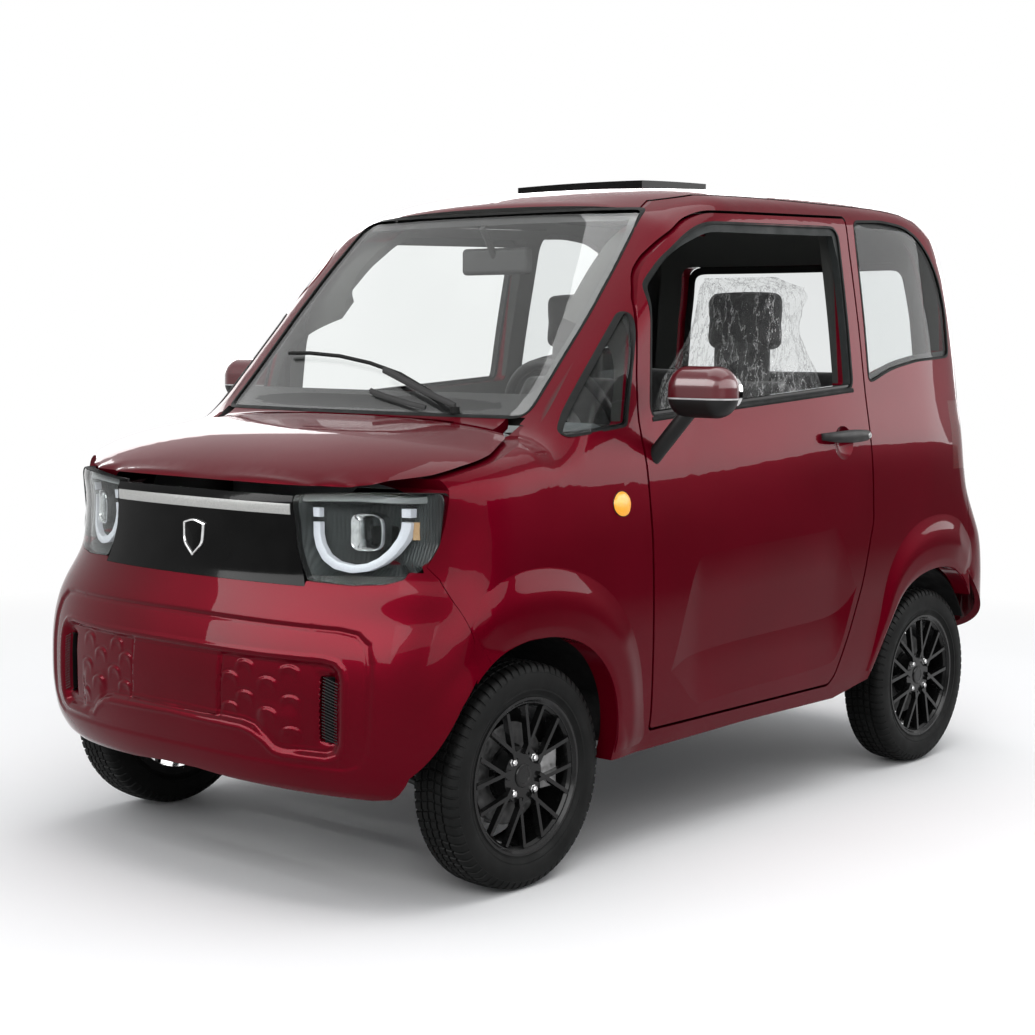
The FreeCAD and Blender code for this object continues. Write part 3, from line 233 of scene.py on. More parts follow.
def car_paint(name, dark, light, outward=None, lining=(0.050, 0.051, 0.049)):
    """Candy paint; with an outward axis and sign, faces that look the other way get the cabin's lining."""
    made = Maker(name)
    flake, drift = made.cells(2600.0), made.noise(3.0, 2.0)
    made.colour(made.math("ADD", made.times(flake, 0.55), made.times(drift, 0.5)), dark, light, 0.25, 0.75)
    made.rough(made.noise(700.0, 2.0), 0.30, 0.42)
    made.bump(made.noise(150.0, 2.0), 0.00006, 0.25)
    made.set(Metallic=0.25, Specular_IOR_Level=0.0, Coat_Weight=1.0, Coat_Roughness=0.015, Coat_IOR=1.13)
    if outward:
        index, sign = outward
        facing = made.split(made.coordinates.outputs["Normal"])
        painted = made.span(facing[index], -0.30 * sign, -0.24 * sign)
        if index == 0:
            painted = made.times(painted, made.math("SUBTRACT", 1.0, cabin_faces(made, facing)))
        paint = made.shader.inputs["Base Color"].links[0].from_socket
        fine = made.ramp(made.noise(800.0), [(0.3, tuple(c * 0.8 for c in lining)), (0.7, lining)])
        made.link(made.two_tone(painted, fine, paint), made.shader.inputs["Base Color"])
        made.link(painted, made.shader.inputs["Coat Weight"])
        made.link(made.span(painted, 0.0, 1.0, 0.8, 0.36), made.shader.inputs["Roughness"])
    return made.material


def glass(name, tint, coat_index):
    made = Maker(name)
    made.colour(made.noise(2.0, 1.0), tuple(c * 0.97 for c in tint), tint)
    made.bump(made.noise(2.5, 1.0), 0.0006, 0.15)
    made.set(Transmission_Weight=1.0, Roughness=0.0, IOR=1.03, Coat_Weight=1.0, Coat_Roughness=0.01,
             Coat_IOR=coat_index)
    return made.shadeless_glass(tint).material


def glow(name, dark, light, strength):
    made = Maker(name)
    made.colour(made.noise(400.0), dark, light)
    made.bump(made.cells(600.0), 0.0003, 0.5)
    return made.set(Roughness=0.3, Emission_Color=(*light, 1.0), Emission_Strength=strength).material


def metal(name, dark, light, rough, scale=60.0):
    made = Maker(name)
    made.colour(made.noise(scale, 3.0), dark, light)
    made.rough(made.noise(scale * 2, 3.0), rough * 0.7, rough * 1.4)
    made.bump(made.noise(scale * 12), 0.00005, 0.4)
    return made.set(Metallic=1.0).material


def cloth(name, dark, light, scale=900.0):
    made = Maker(name)
    up = made.math("ADD", made.axis(1), made.axis(2))
    wave = made.times(*(made.math("SINE", made.times(axis, scale)) for axis in (made.axis(0), up)))
    made.colour(made.math("ADD", made.times(wave, 0.2), made.noise(60.0, 3.0)), dark, light)
    made.bump(wave, 0.0004, 0.7)
    return made.set(Roughness=0.9, Specular_IOR_Level=0.2, Sheen_Weight=0.3).material


DARK_RED, LIGHT_RED = (0.070, 0.0002, 0.0035), (0.104, 0.0006, 0.0070)
red = car_paint("candy_red", DARK_RED, LIGHT_RED)
red_left = car_paint("candy_red_left", DARK_RED, LIGHT_RED, (0, 1))
red_right = car_paint("candy_red_right", DARK_RED, LIGHT_RED, (0, -1))
red_roof = car_paint("candy_red_roof", DARK_RED, LIGHT_RED, (2, 1), (0.12, 0.12, 0.115))
red_tail = car_paint("candy_red_tail", DARK_RED, LIGHT_RED, (1, 1))
gloss_black = plastic("gloss_black", tone(0.002), tone(0.004), 0.12, 300.0, 0.00002, 0.5, 0.03)
black = plastic("moulded_black", tone(0.007), tone(0.012), 0.5, specular=0.2)
rubber = plastic("rubber", (0.0025, 0.0027, 0.0026), (0.0058, 0.0061, 0.0059), 0.62, 1400.0, 0.0001, 0.0,
                 0.09)
seal_grey = plastic("seal", (0.012, 0.014, 0.014), (0.020, 0.023, 0.023), 0.6, 1400.0, 0.0001, 0.0, 0.10)
liner_black = plastic("liner", tone(0.004), tone(0.007), 0.8, 500.0, 0.0006, 0.0, 0.1)
steel_black = plastic("chassis_paint", tone(0.012), tone(0.022), 0.45, 200.0, 0.0002)
grey_trim = plastic("cabin_plastic", (0.115, 0.127, 0.130), (0.145, 0.158, 0.160), 0.6, 1100.0, 0.0003)
carpet = plastic("carpet", tone(0.012), tone(0.035), 0.95, 1600.0, 0.002, 0.0, 0.1)
battery_case = plastic("battery_case", tone(0.05), tone(0.07), 0.5, 260.0, 0.0004)
alloy = plastic("black_alloy", tone(0.003), tone(0.006), 0.25, 500.0, 0.00005, 0.8, 0.15)
clear_glass = glass("clear_glass", (0.95, 0.965, 0.96), 1.35)
side_glass = glass("side_glass", (0.95, 0.965, 0.96), 1.12)
dark_glass = glass("tinted_glass", (0.80, 0.82, 0.82), 1.12)
lens = glass("lamp_lens", (0.86, 0.89, 0.89), 1.14)
chrome = metal("chrome", tone(0.62), tone(0.78), 0.08)
steel = metal("machined_steel", tone(0.34), tone(0.48), 0.32)
cast = metal("cast_metal", tone(0.20), tone(0.30), 0.5)
mirror_glass = metal("mirror_glass", tone(0.55), tone(0.58), 0.02, 8.0)
white_lamp = glow("daylight_lamp", (0.42, 0.42, 0.46), (0.50, 0.50, 0.54), 0.14)
strip_white = glow("nose_strip", (0.34, 0.34, 0.33), (0.44, 0.44, 0.42), 0.07)
brow_grey = glow("lamp_brow", (0.10, 0.105, 0.105), (0.16, 0.165, 0.165), 0.02)
disc_grey = metal("brake_disc", tone(0.045), tone(0.080), 0.45)
amber = glow("amber", (0.80, 0.30, 0.01), (0.95, 0.42, 0.02), 0.25)
amber_dull = glow("amber_behind_lens", (0.30, 0.17, 0.07), (0.38, 0.23, 0.11), 0.05)
seat_cloth = cloth("seat_cloth", tone(0.010), tone(0.026))
tail_look = Maker("tail_lens")
tail_look.colour(tail_look.cells(240.0), (0.050, 0.0005, 0.0012), (0.110, 0.0012, 0.0025), 0.1, 0.6)
tail_look.bump(tail_look.cells(240.0), 0.0004, 0.06)
tail_red = tail_look.set(Roughness=0.35, Specular_IOR_Level=0.05, Coat_Weight=1.0, Coat_Roughness=0.02,
                         Coat_IOR=1.12).material
housing_look = Maker("lamp_housing")
housing_look.colour(housing_look.noise(18.0), (0.010, 0.012, 0.012), (0.026, 0.030, 0.030))
housing_look.bump(housing_look.math("SINE", housing_look.times(housing_look.axis(0), 700.0)), 0.0008, 0.6)
housing = housing_look.set(Roughness=0.4, Specular_IOR_Level=0.2).material


def mirror_shell():
    """Red cap above, a bright line, black below, by height on the mirror head."""
    made = Maker("mirror_shell")
    level = made.axis(2)
    cap = made.span(level, 1.0925, 1.0930)
    line = made.times(made.span(level, 1.0890, 1.0893), made.math("SUBTRACT", 1.0, cap))
    flake = made.ramp(made.cells(2600.0), [(0.25, DARK_RED), (0.75, LIGHT_RED)])
    dull = made.ramp(made.noise(14.0), [(0.35, tone(0.004)), (0.65, tone(0.007))])
    bright = made.ramp(made.noise(40.0), [(0.35, tone(0.45)), (0.65, tone(0.60))])
    made.link(made.two_tone(line, made.two_tone(cap, dull, flake), bright), made.shader.inputs["Base Color"])
    made.link(cap, made.shader.inputs["Coat Weight"])
    made.link(made.span(cap, 0.0, 1.0, 0.45, 0.3), made.shader.inputs["Roughness"])
    made.bump(made.noise(500.0), 0.00005, 0.4)
    return made.set(Specular_IOR_Level=0.2, Coat_Roughness=0.015, Coat_IOR=1.3).material


looks = (
    (red, "front_bumper rear_bumper hood cowl_panel"), (red_roof, "roof_panel"),
    (red_left, "body_side_left door_left"), (red_right, "body_side_right door_right"),
    (red_tail, "rear_corner_posts tailgate"), (gloss_black, "grille_panel sunroof_panel"),
    (clear_glass, "windshield"), (dark_glass, "tailgate_glass fixed_side_glass"),
    (side_glass, "door_glass_left door_glass_right"), (lens, "headlamps"), (tail_red, "tail_lamps"),
    (steel_black, "chassis_frame front_suspension rear_axle rear_suspension"),
    (battery_case, "battery_pack"), (carpet, "floor_pan"), (liner_black, "wheel_liners"),
    (grey_trim, "door_trim_left door_trim_right dashboard cabin_trim"),
    (black, "door_handle_left door_handle_right steering_wheel interior_mirror"),
    (mirror_shell(), "door_mirror_left door_mirror_right"),
    (cast, "front_knuckle_left front_knuckle_right"), (seat_cloth, "front_seats rear_bench"),
    (alloy, "rim_front_left rim_front_right rim_rear_left rim_rear_right"),
    (rubber, "wiper tyre_front_left tyre_front_right tyre_rear_left tyre_rear_right"),
)
for material, names in looks:
    for node in (nodes[name] for name in names.split()):
        if not node.data.materials:
            node.data.materials.append(material)
        for slot in node.material_slots:
            slot.material = material

# ---------------------------------------------------------------- the body's own surface
# Profiles are (height, place behind the front axle), or (place, height), in metres.
nose_line = [(0.15, -0.36), (0.215, -0.40), (0.26, -0.450), (0.34, -0.476), (0.45, -0.480), (0.54, -0.470),
             (0.62, -0.443), (0.70, -0.411), (0.77, -0.402), (0.86, -0.399), (0.92, -0.394), (1.10, -0.385)]
tail_line = [(0.15, 2.17), (0.25, 2.20), (0.34, 2.240), (0.45, 2.257), (0.55, 2.255), (0.65, 2.235),
             (0.73, 2.190), (0.80, 2.153), (0.88, 2.140), (1.00, 2.144), (1.10, 2.146), (1.25, 2.142),
             (1.40, 2.128), (1.50, 2.095), (1.60, 2.040)]
top_line = [(-0.50, 0.902), (-0.385, 0.934), (-0.33, 0.955), (-0.15, 1.003), (0.05, 1.037), (0.10, 1.050),
            (0.18, 1.122), (0.60, 1.559), (0.66, 1.587), (0.75, 1.613), (0.86, 1.630), (1.20, 1.646),
            (1.60, 1.650), (1.80, 1.642), (1.95, 1.612), (2.08, 1.550), (2.30, 1.42)]
front_width = [(0.15, 0.640), (0.25, 0.660), (0.30, 0.676), (0.40, 0.684), (0.60, 0.687), (0.76, 0.682),
               (0.86, 0.672), (0.95, 0.660), (1.03, 0.640), (1.10, 0.634), (1.38, 0.614), (1.70, 0.572)]
rear_width = [(0.15, 0.640), (0.25, 0.660), (0.30, 0.676), (0.40, 0.684), (0.60, 0.687), (0.76, 0.687),
              (0.90, 0.686), (0.98, 0.679), (1.05, 0.666), (1.12, 0.656), (1.30, 0.630), (1.70, 0.560)]
NOSE_ROUND, LAMP_ROUND, HOOD_ROUND = 0.285, 0.318, 0.072
SCREEN_ROUND, ROOF_ROUND, TAIL_ROUND = 0.150, 0.110, 0.240
HOOD_CROWN, ROOF_CROWN, SCREEN_CROWN = 0.009, 0.014, 0.030
TAIL_PINCH, FLARE_DEPTH, FLARE_REACH = 0.052, 0.011, 0.075


def blend(low, high, value):
    """A smooth rise from 0 at low to 1 at high."""
    t = np.clip((value - low) / (high - low), 0.0, 1.0)
    return t * t * (3 - 2 * t)


def follow(line, value):
    """A smooth curve through a table, straight beyond its ends."""
    a, b = np.array(line).T
    value = np.asarray(value, dtype=float)
    i = np.clip(np.searchsorted(a, value, side="right") - 1, 0, len(a) - 2)
    slope = np.diff(b) / np.diff(a)
    ends = np.concatenate([slope[:1], (b[2:] - b[:-2]) / (a[2:] - a[:-2]), slope[-1:]])
    span = a[i + 1] - a[i]
    t = (value - a[i]) / span
    inner = ((2 * t ** 3 - 3 * t ** 2 + 1) * b[i] + (t ** 3 - 2 * t ** 2 + t) * span * ends[i]
             + (3 * t ** 2 - 2 * t ** 3) * b[i + 1] + (t ** 3 - t ** 2) * span * ends[i + 1])
    inner = np.where(value <= a[0], b[0] + slope[0] * (value - a[0]), inner)
    return np.where(value >= a[-1], b[-1] + slope[-1] * (value - a[-1]), inner)


def flare(y, z, axle):
    """How far the body swells out round the wheel arch at an axle."""
    distance = np.hypot((y - axle) / 1.03, z - TYRE_RADIUS) - (TYRE_RADIUS + FLARE_REACH / 2)
    fade = 1 - blend(0.0, FLARE_REACH, np.abs(distance))
    return FLARE_DEPTH * fade * blend(0.0, TYRE_RADIUS / 2, z)


def body(p, inset):
    """Below zero inside the body, above zero outside it; y counts back from the front axle."""
    x, y, z = p[:, 0], p[:, 1], p[:, 2]
    upper = blend(0.02, 0.20, y)
    front, rear = follow(front_width, z), follow(rear_width, z)
    width = front + (rear - front) * blend(0.40, 1.40, y) + flare(y, z, 0.0) + flare(y, z, REAR_AXLE)
    width -= TAIL_PINCH * blend(1.70, 2.40, y) * blend(0.65, 1.05, z)
    x_share = np.abs(x) / (width - inset)
    crown = HOOD_CROWN + (ROOF_CROWN - HOOD_CROWN) * upper
    crown = crown + (SCREEN_CROWN - ROOF_CROWN) * upper * (1 - blend(0.55, 0.85, y))
    top = follow(top_line, y) - crown * (x / 0.5) ** 2 - inset
    top -= inset * 0.4 * blend(0.05, 0.20, y) * (1 - blend(0.55, 0.80, y))
    behind_screen = blend(0.55, 0.85, y)
    top_round = HOOD_ROUND + (SCREEN_ROUND - HOOD_ROUND) * upper + (ROOF_ROUND - SCREEN_ROUND) * behind_screen
    power = 2.6 + 2.4 * upper
    q_top = np.maximum(0.0, 1 - (top - z) / top_round)
    brow = blend(0.58, 0.72, z)
    nose_round = NOSE_ROUND + (LAMP_ROUND - NOSE_ROUND) * brow
    q_nose = np.maximum(0.0, 1 - (y - inset - follow(nose_line, z)) / nose_round)
    q_tail = np.maximum(0.0, 1 - (follow(tail_line, z) - inset - y) / TAIL_ROUND)
    side = 2.4 + 0.9 * blend(0.80, 0.95, z) * (1 - upper) + 2.4 * upper * (1 - blend(1.7, 2.1, y))
    return x_share ** side + q_top ** power + q_nose ** (2.4 - 0.25 * brow) + q_tail ** 2.8 - 1


def skin(start, way, inset=0.0, reach=1.6):
    """Where rays from inside the body meet its skin, or a level inset below it."""
    start = np.atleast_2d(np.asarray(start, dtype=float))
    way = np.broadcast_to(np.asarray(way, dtype=float), start.shape)
    inset = np.broadcast_to(np.asarray(inset, dtype=float), len(start))
    near, far = np.zeros(len(start)), np.full(len(start), reach)
    for _ in range(24):
        middle = (near + far) / 2
        outside = body(start + way * middle[:, None], inset) > 0
        far = np.where(outside, middle, far)
        near = np.where(outside, near, middle)
    return start + way * near[:, None]


def seen_along(axis, start, sign=1):
    """A function that lays pairs of the other two coordinates on the body, looking along one axis."""
    way = np.zeros(3)
    way[axis] = sign

    def lay(pairs, inset=0.0):
        return skin(np.insert(np.asarray(pairs, dtype=float), axis, start, axis=1), way, inset)

    return lay


front_points = seen_along(1, -0.02, -1)   # (x, z) on the nose
screen_points = seen_along(1, 1.0, -1)    # (x, z) on the windshield
tail_points = seen_along(1, 1.5)          # (x, z) on the tail
side_points = seen_along(0, 0.25)         # (y, z) on the left side
top_points = seen_along(2, 0.72)          # (x, y) on the hood or roof


# ---------------------------------------------------------------- mesh helpers


def placed(name, data):
    made = bpy.data.objects.new(name, data)
    bpy.context.scene.collection.objects.link(made)
    return made


def unit(ways):
    return ways / np.linalg.norm(ways, axis=1)[:, None]


def turns(count):
    """Angles evenly round a circle."""
    return np.linspace(0, 2 * math.pi, count, endpoint=False)


def piece(name, points, faces, material, carrier="car_body", angle=35.0, slot=None):
    """A mesh piece from points whose y counts back from the front axle."""
    points = np.asarray(points, dtype=float) + np.array((0.0, AXLE, 0.0))
    mesh = bpy.data.meshes.new(name)
    mesh.from_pydata(points.tolist(), [], faces)
    mesh.materials.append(material)
    work = bmesh.new()
    work.from_mesh(mesh)
    bmesh.ops.remove_doubles(work, verts=work.verts, dist=1e-6)
    bmesh.ops.recalc_face_normals(work, faces=work.faces)
    work.to_mesh(mesh)
    work.free()
    mesh.polygons.foreach_set("use_smooth", [True] * len(mesh.polygons))
    mesh.set_sharp_from_angle(angle=math.radians(angle))
    made = placed(name, mesh)
    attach(made, carrier)
    return made


def lattice(rows, columns, wrap_rows=False, wrap_columns=False, offset=0):
    """The four-sided faces of a grid of points, counted row by row."""
    faces = []
    for i in range(rows if wrap_rows else rows - 1):
        for j in range(columns if wrap_columns else columns - 1):
            k, m = (i + 1) % rows, (j + 1) % columns
            faces.append([offset + i * columns + j, offset + i * columns + m, offset + k * columns + m,
                          offset + k * columns + j])
    return faces


def skinned(name, rows, material, **options):
    """A solid from equal closed loops, the last joined to the first."""
    rows = np.asarray(rows, dtype=float)
    faces = lattice(len(rows), rows.shape[1], wrap_rows=True, wrap_columns=True)
    return piece(name, rows.reshape(-1, 3), faces, material, **options)


def border(rows, columns):
    """The outer places of a grid, in order."""
    return ([(i, 0) for i in range(rows)] + [(rows - 1, j) for j in range(1, columns)]
            + [(i, columns - 1) for i in range(rows - 2, -1, -1)]
            + [(0, j) for j in range(columns - 2, 0, -1)])


def slab(name, front, back, material, **options):
    """A closed solid between two grids of the same size."""
    front, back = np.asarray(front), np.asarray(back)
    rows, columns = front.shape[:2]
    count = rows * columns
    faces = lattice(rows, columns) + [face[::-1] for face in lattice(rows, columns, offset=count)]
    rim = border(rows, columns)
    for a, b in zip(rim, rim[1:] + rim[:1]):
        p, q = a[0] * columns + a[1], b[0] * columns + b[1]
        faces.append([p, q, q + count, p + count])
    points = np.concatenate([front.reshape(-1, 3), back.reshape(-1, 3)])
    return piece(name, points, faces, material, **options)


def stack(name, rows, material, **options):
    """A closed solid from equal closed loops, with its first and last loop capped."""
    rows = np.asarray(rows, dtype=float)
    count, sides = rows.shape[:2]
    faces = lattice(count, sides, wrap_columns=True)
    faces += [list(range(sides))[::-1], list(range((count - 1) * sides, count * sides))]
    return piece(name, rows.reshape(-1, 3), faces, material, **options)


def rounded(points, radii, count=160):
    """A closed outline with rounded corners, as evenly spaced points."""
    steps = 6
    out = []
    points = [Vector(p) for p in points]
    for i, here in enumerate(points):
        before, after = points[i - 1], points[(i + 1) % len(points)]
        a, b = (before - here).normalized(), (after - here).normalized()
        half = math.acos(max(-1.0, min(1.0, a.dot(b)))) / 2
        room = 0.49 * min((before - here).length, (after - here).length)
        cut = min(radii[i] / max(math.tan(half), 1e-6), room)
        if cut <= 0 or half > math.radians(89.5):
            out.append(here.copy())
            continue
        for k in range(steps + 1):
            t = k / steps
            out.append((here + a * cut) * (1 - t) ** 2 + here * (2 * t * (1 - t)) + (here + b * cut) * t ** 2)
    return resample(np.array([tuple(p) for p in out]), count, True)


def resample(line, count, closed=False):
    line = np.asarray(line, dtype=float)
    if closed:
        line = np.vstack([line, line[:1]])
    steps = np.linalg.norm(np.diff(line, axis=0), axis=1)
    along = np.concatenate([[0.0], np.cumsum(steps)])
    spots = np.linspace(0.0, along[-1], count + 1 if closed else count)
    if closed:
        spots = spots[:-1]
    return np.column_stack([np.interp(spots, along, line[:, k]) for k in range(line.shape[1])])


def shrunk(outline, depth):
    """A closed 2D outline moved inward by one depth, or by its own at each point, and lightly smoothed."""
    outline = np.asarray(outline, dtype=float)
    area = np.sum(outline[:, 0] * np.roll(outline[:, 1], -1) - np.roll(outline[:, 0], -1) * outline[:, 1])
    way = unit(np.roll(outline, -2, axis=0) - np.roll(outline, 2, axis=0))
    normal = np.column_stack([-way[:, 1], way[:, 0]]) * (1 if area > 0 else -1)
    moved = outline + normal * np.asarray(depth).reshape(-1, 1)
    for _ in range(3):
        moved = (np.roll(moved, 1, axis=0) + moved * 2 + np.roll(moved, -1, axis=0)) / 4
    return moved


def mirrored(points, side):
    points = np.array(points, dtype=float)
    points[..., 0] *= side
    return points


def rings_on(lay, heart, outline, table, side=1):
    """An outline laid on the body, drawn in about its heart to each share and sunk to each inset."""
    heart = np.asarray(heart)
    return [mirrored(lay(heart + (outline - heart) * share, inset), side) for share, inset in table]


def smoothed(line, rounds):
    for _ in range(rounds):
        line[1:-1] = (line[:-2] + 2 * line[1:-1] + line[2:]) / 4
    return line


def tube(name, line, radius, material, sides):
    """A capped rod along a line."""
    way = unit(np.gradient(line, axis=0))
    guide = np.array((0.0, 0.0, 1.0)) if abs(way[:, 2]).max() < 0.95 else np.array((1.0, 0.2, 0.1))
    across = unit(np.cross(way, guide))
    up = np.cross(across, way)
    angles = turns(sides)[None, :, None]
    rings = line[:, None] + radius * (across[:, None] * np.cos(angles) + up[:, None] * np.sin(angles))
    return stack(name, rings, material)


def lathe(name, profile, centre, material, count, axis, **options):
    """A ring or disc turned about a level axis; the profile holds (along the axis, radius)."""
    axis = np.array(axis, dtype=float)
    side = np.cross(axis, (0, 0, 1))
    side /= np.linalg.norm(side)
    up = np.cross(side, axis)
    rings = []
    for angle in turns(count):
        out = side * math.cos(angle) + up * math.sin(angle)
        rings.append([np.array(centre) + axis * a + out * r for a, r in profile])
    return skinned(name, rings, material, **options)


SIDES = (("left", 1), ("right", -1))

# ---------------------------------------------------------------- camera, light and floor
YAW, PITCH, ROLL = 0.709685848, 0.089768909, 0.00942109126    # radians, solved from the photo's points
CAMERA_PLACE, FOCAL_LENGTH = (3.33343652, -4.05241061, 1.20671829), 65.962
back_way = Vector((math.sin(YAW) * math.cos(PITCH), -math.cos(YAW) * math.cos(PITCH), math.sin(PITCH)))
right_way = Vector((math.cos(YAW), math.sin(YAW), 0.0))
up_way = right_way.cross(-back_way)
right_rolled = right_way * math.cos(ROLL) + up_way * math.sin(ROLL)
up_rolled = up_way * math.cos(ROLL) - right_way * math.sin(ROLL)
lens_data = bpy.data.cameras.new("camera")
lens_data.sensor_width = 36.0
lens_data.lens = FOCAL_LENGTH
lens_data.clip_end = 200.0
camera = placed("camera", lens_data)
turn = Matrix((right_rolled, up_rolled, back_way)).transposed().to_4x4()
camera.matrix_world = Matrix.Translation(CAMERA_PLACE) @ turn
bpy.context.scene.camera = camera
bpy.context.scene.view_settings.view_transform = "Standard"


def area_light(name, place, target, size, power, gloss_only=False):
    data = bpy.data.lights.new(name, "AREA")
    data.shape = "RECTANGLE"
    data.size, data.size_y = size
    data.energy = power
    made = placed(name, data)
    made.location = place
    made.rotation_euler = (Vector(target) - Vector(place)).to_track_quat("-Z", "Y").to_euler()
    made.visible_camera = False
    if gloss_only:
        made.visible_diffuse = made.visible_transmission = False
    return made


area_light("overhead", (0.6, 0.2, 4.6), (0.0, 0.0, 0.0), (4.2, 5.0), 170.0)
area_light("soft_front", (4.2, -6.0, 4.4), (0.3, -0.4, 0.7), (4.5, 3.0), 150.0)
area_light("side_card", (7.2, 6.0, 4.2), (0.6, 6.0, 4.2), (24.0, 5.4), 2450.0, True)
area_light("front_card", (-1.5, -8.4, 5.2), (0.0, -1.2, 0.7), (12.0, 5.4), 2500.0, True)
area_light("back_card", (-5.2, 6.8, 3.0), (0.0, 0.0, 0.9), (13.0, 3.6), 640.0, True)

world = bpy.data.worlds.new("studio")
bpy.context.scene.world = world
sky = Tree(world, "ShaderNodeOutputWorld")
shades = []
for colour, strength in (((0.95, 0.97, 1.0, 1.0), 0.55), ((1.0, 1.0, 1.0, 1.0), 1.0)):
    shade = sky.node("ShaderNodeBackground")
    shade.inputs[0].default_value, shade.inputs[1].default_value = colour, strength
    shades.append(shade.outputs[0])
sky.mixed(sky.seen(), *shades)


def studio_sheet(name, corners, look):
    mesh = bpy.data.meshes.new(name)
    mesh.from_pydata(corners, [], [(0, 1, 2, 3)])
    mesh.materials.append(look.material)
    made = placed(name, mesh)
    made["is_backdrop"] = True
    return made


FLOOR_HALF = 30.0
floor_look = Maker("studio_floor")
floor_look.colour(floor_look.noise(0.7, 2.0), tone(0.93), tone(0.95))
floor_look.set(Roughness=0.85, Specular_IOR_Level=0.1)
floor_look.bump(floor_look.noise(90.0), 0.0004, 0.2)
length = floor_look.node("ShaderNodeVectorMath", operation="LENGTH")
floor_look.link(floor_look.place, length.inputs[0])
far_off = floor_look.span(length.outputs["Value"], 2.2, 4.6)
far_white = floor_look.node("ShaderNodeEmission")
far_white.inputs[0].default_value = (1.0, 1.0, 1.0, 1.0)
floor_look.mixed(floor_look.times(far_off, floor_look.seen()), floor_look.shader.outputs[0],
                 far_white.outputs[0])
studio_sheet("floor", [(x * FLOOR_HALF, y * FLOOR_HALF, 0) for x, y in ((-1, -1), (1, -1), (1, 1), (-1, 1))],
             floor_look)

# A dark card beside the car, seen only in its paint, holds the floor's glare off the doors.
CARD_X, CARD_FRONT, CARD_BACK, CARD_LOW, CARD_HIGH, CARD_FADE = 2.33, -0.6, 7.0, 0.10, 1.12, 0.24
card_look = Maker("dark_card")
card_look.colour(card_look.noise(3.0), tone(0.006), tone(0.010))
card_look.set(Roughness=0.9, Specular_IOR_Level=0.0)
card_look.mixed(card_look.span(card_look.axis(2), CARD_LOW, CARD_LOW + CARD_FADE),
                card_look.node("ShaderNodeBsdfTransparent").outputs[0], card_look.shader.outputs[0])
card = studio_sheet("dark_card", [(CARD_X, CARD_FRONT, CARD_LOW), (CARD_X, CARD_BACK, CARD_LOW),
                                  (CARD_X, CARD_BACK, CARD_HIGH), (CARD_X, CARD_FRONT, CARD_HIGH)], card_look)
card.visible_camera = card.visible_diffuse = card.visible_transmission = card.visible_shadow = False

# ---------------------------------------------------------------- front bumper
# Points (x, z) seen from the front. The frame is the crease round the face, the well is its sunken middle.
frame_half = [(0.0, 0.608), (0.26, 0.606), (0.37, 0.605), (0.464, 0.604), (0.505, 0.598), (0.532, 0.578),
              (0.545, 0.540), (0.549, 0.489), (0.547, 0.404), (0.540, 0.350), (0.520, 0.324), (0.490, 0.313),
              (0.386, 0.312), (0.28, 0.313), (0.097, 0.315), (0.0, 0.315)]
well_half = [(0.0, 0.541), (0.281, 0.540), (0.44, 0.541), (0.468, 0.536), (0.484, 0.522), (0.491, 0.500),
             (0.492, 0.464), (0.492, 0.400), (0.489, 0.362), (0.478, 0.340), (0.455, 0.331), (0.341, 0.330),
             (0.318, 0.335), (0.293, 0.356), (0.261, 0.374), (0.232, 0.380), (0.172, 0.382), (0.0, 0.386)]
DIMPLES = [(0.230, 0.520), (0.358, 0.519), (0.188, 0.490), (0.299, 0.489), (0.236, 0.453), (0.365, 0.455),
           (0.191, 0.424), (0.302, 0.423), (0.368, 0.388)]
SLOT = (0.441, 0.475, 0.366, 0.506)       # x and z from, to
PLATE = (0.156, 0.392, 0.534)             # half width, low, high


def both_halves(half):
    return np.array(half + [(-x, z) for x, z in half[-2:0:-1]])


def signed_distance(points, outline):
    """How far points lie inside a closed outline; outside it is below zero."""
    following = np.roll(outline, -1, axis=0)
    best = np.full(len(points), np.inf)
    inside = np.zeros(len(points), dtype=bool)
    for (ax, az), (bx, bz) in zip(outline, following):
        px, pz = points[:, 0] - ax, points[:, 1] - az
        ex, ez = bx - ax, bz - az
        t = np.clip((px * ex + pz * ez) / (ex * ex + ez * ez), 0, 1)
        best = np.minimum(best, np.hypot(px - ex * t, pz - ez * t))
        crosses = ((az > points[:, 1]) != (bz > points[:, 1]))
        with np.errstate(divide="ignore", invalid="ignore"):
            at_x = ex * (points[:, 1] - az) / (ez if ez else 1e-12) + ax
        inside ^= crosses & (points[:, 0] < at_x)
    return np.where(inside, best, -best)


def soft_step(value, width):
    return blend(-width / 2, width / 2, value)


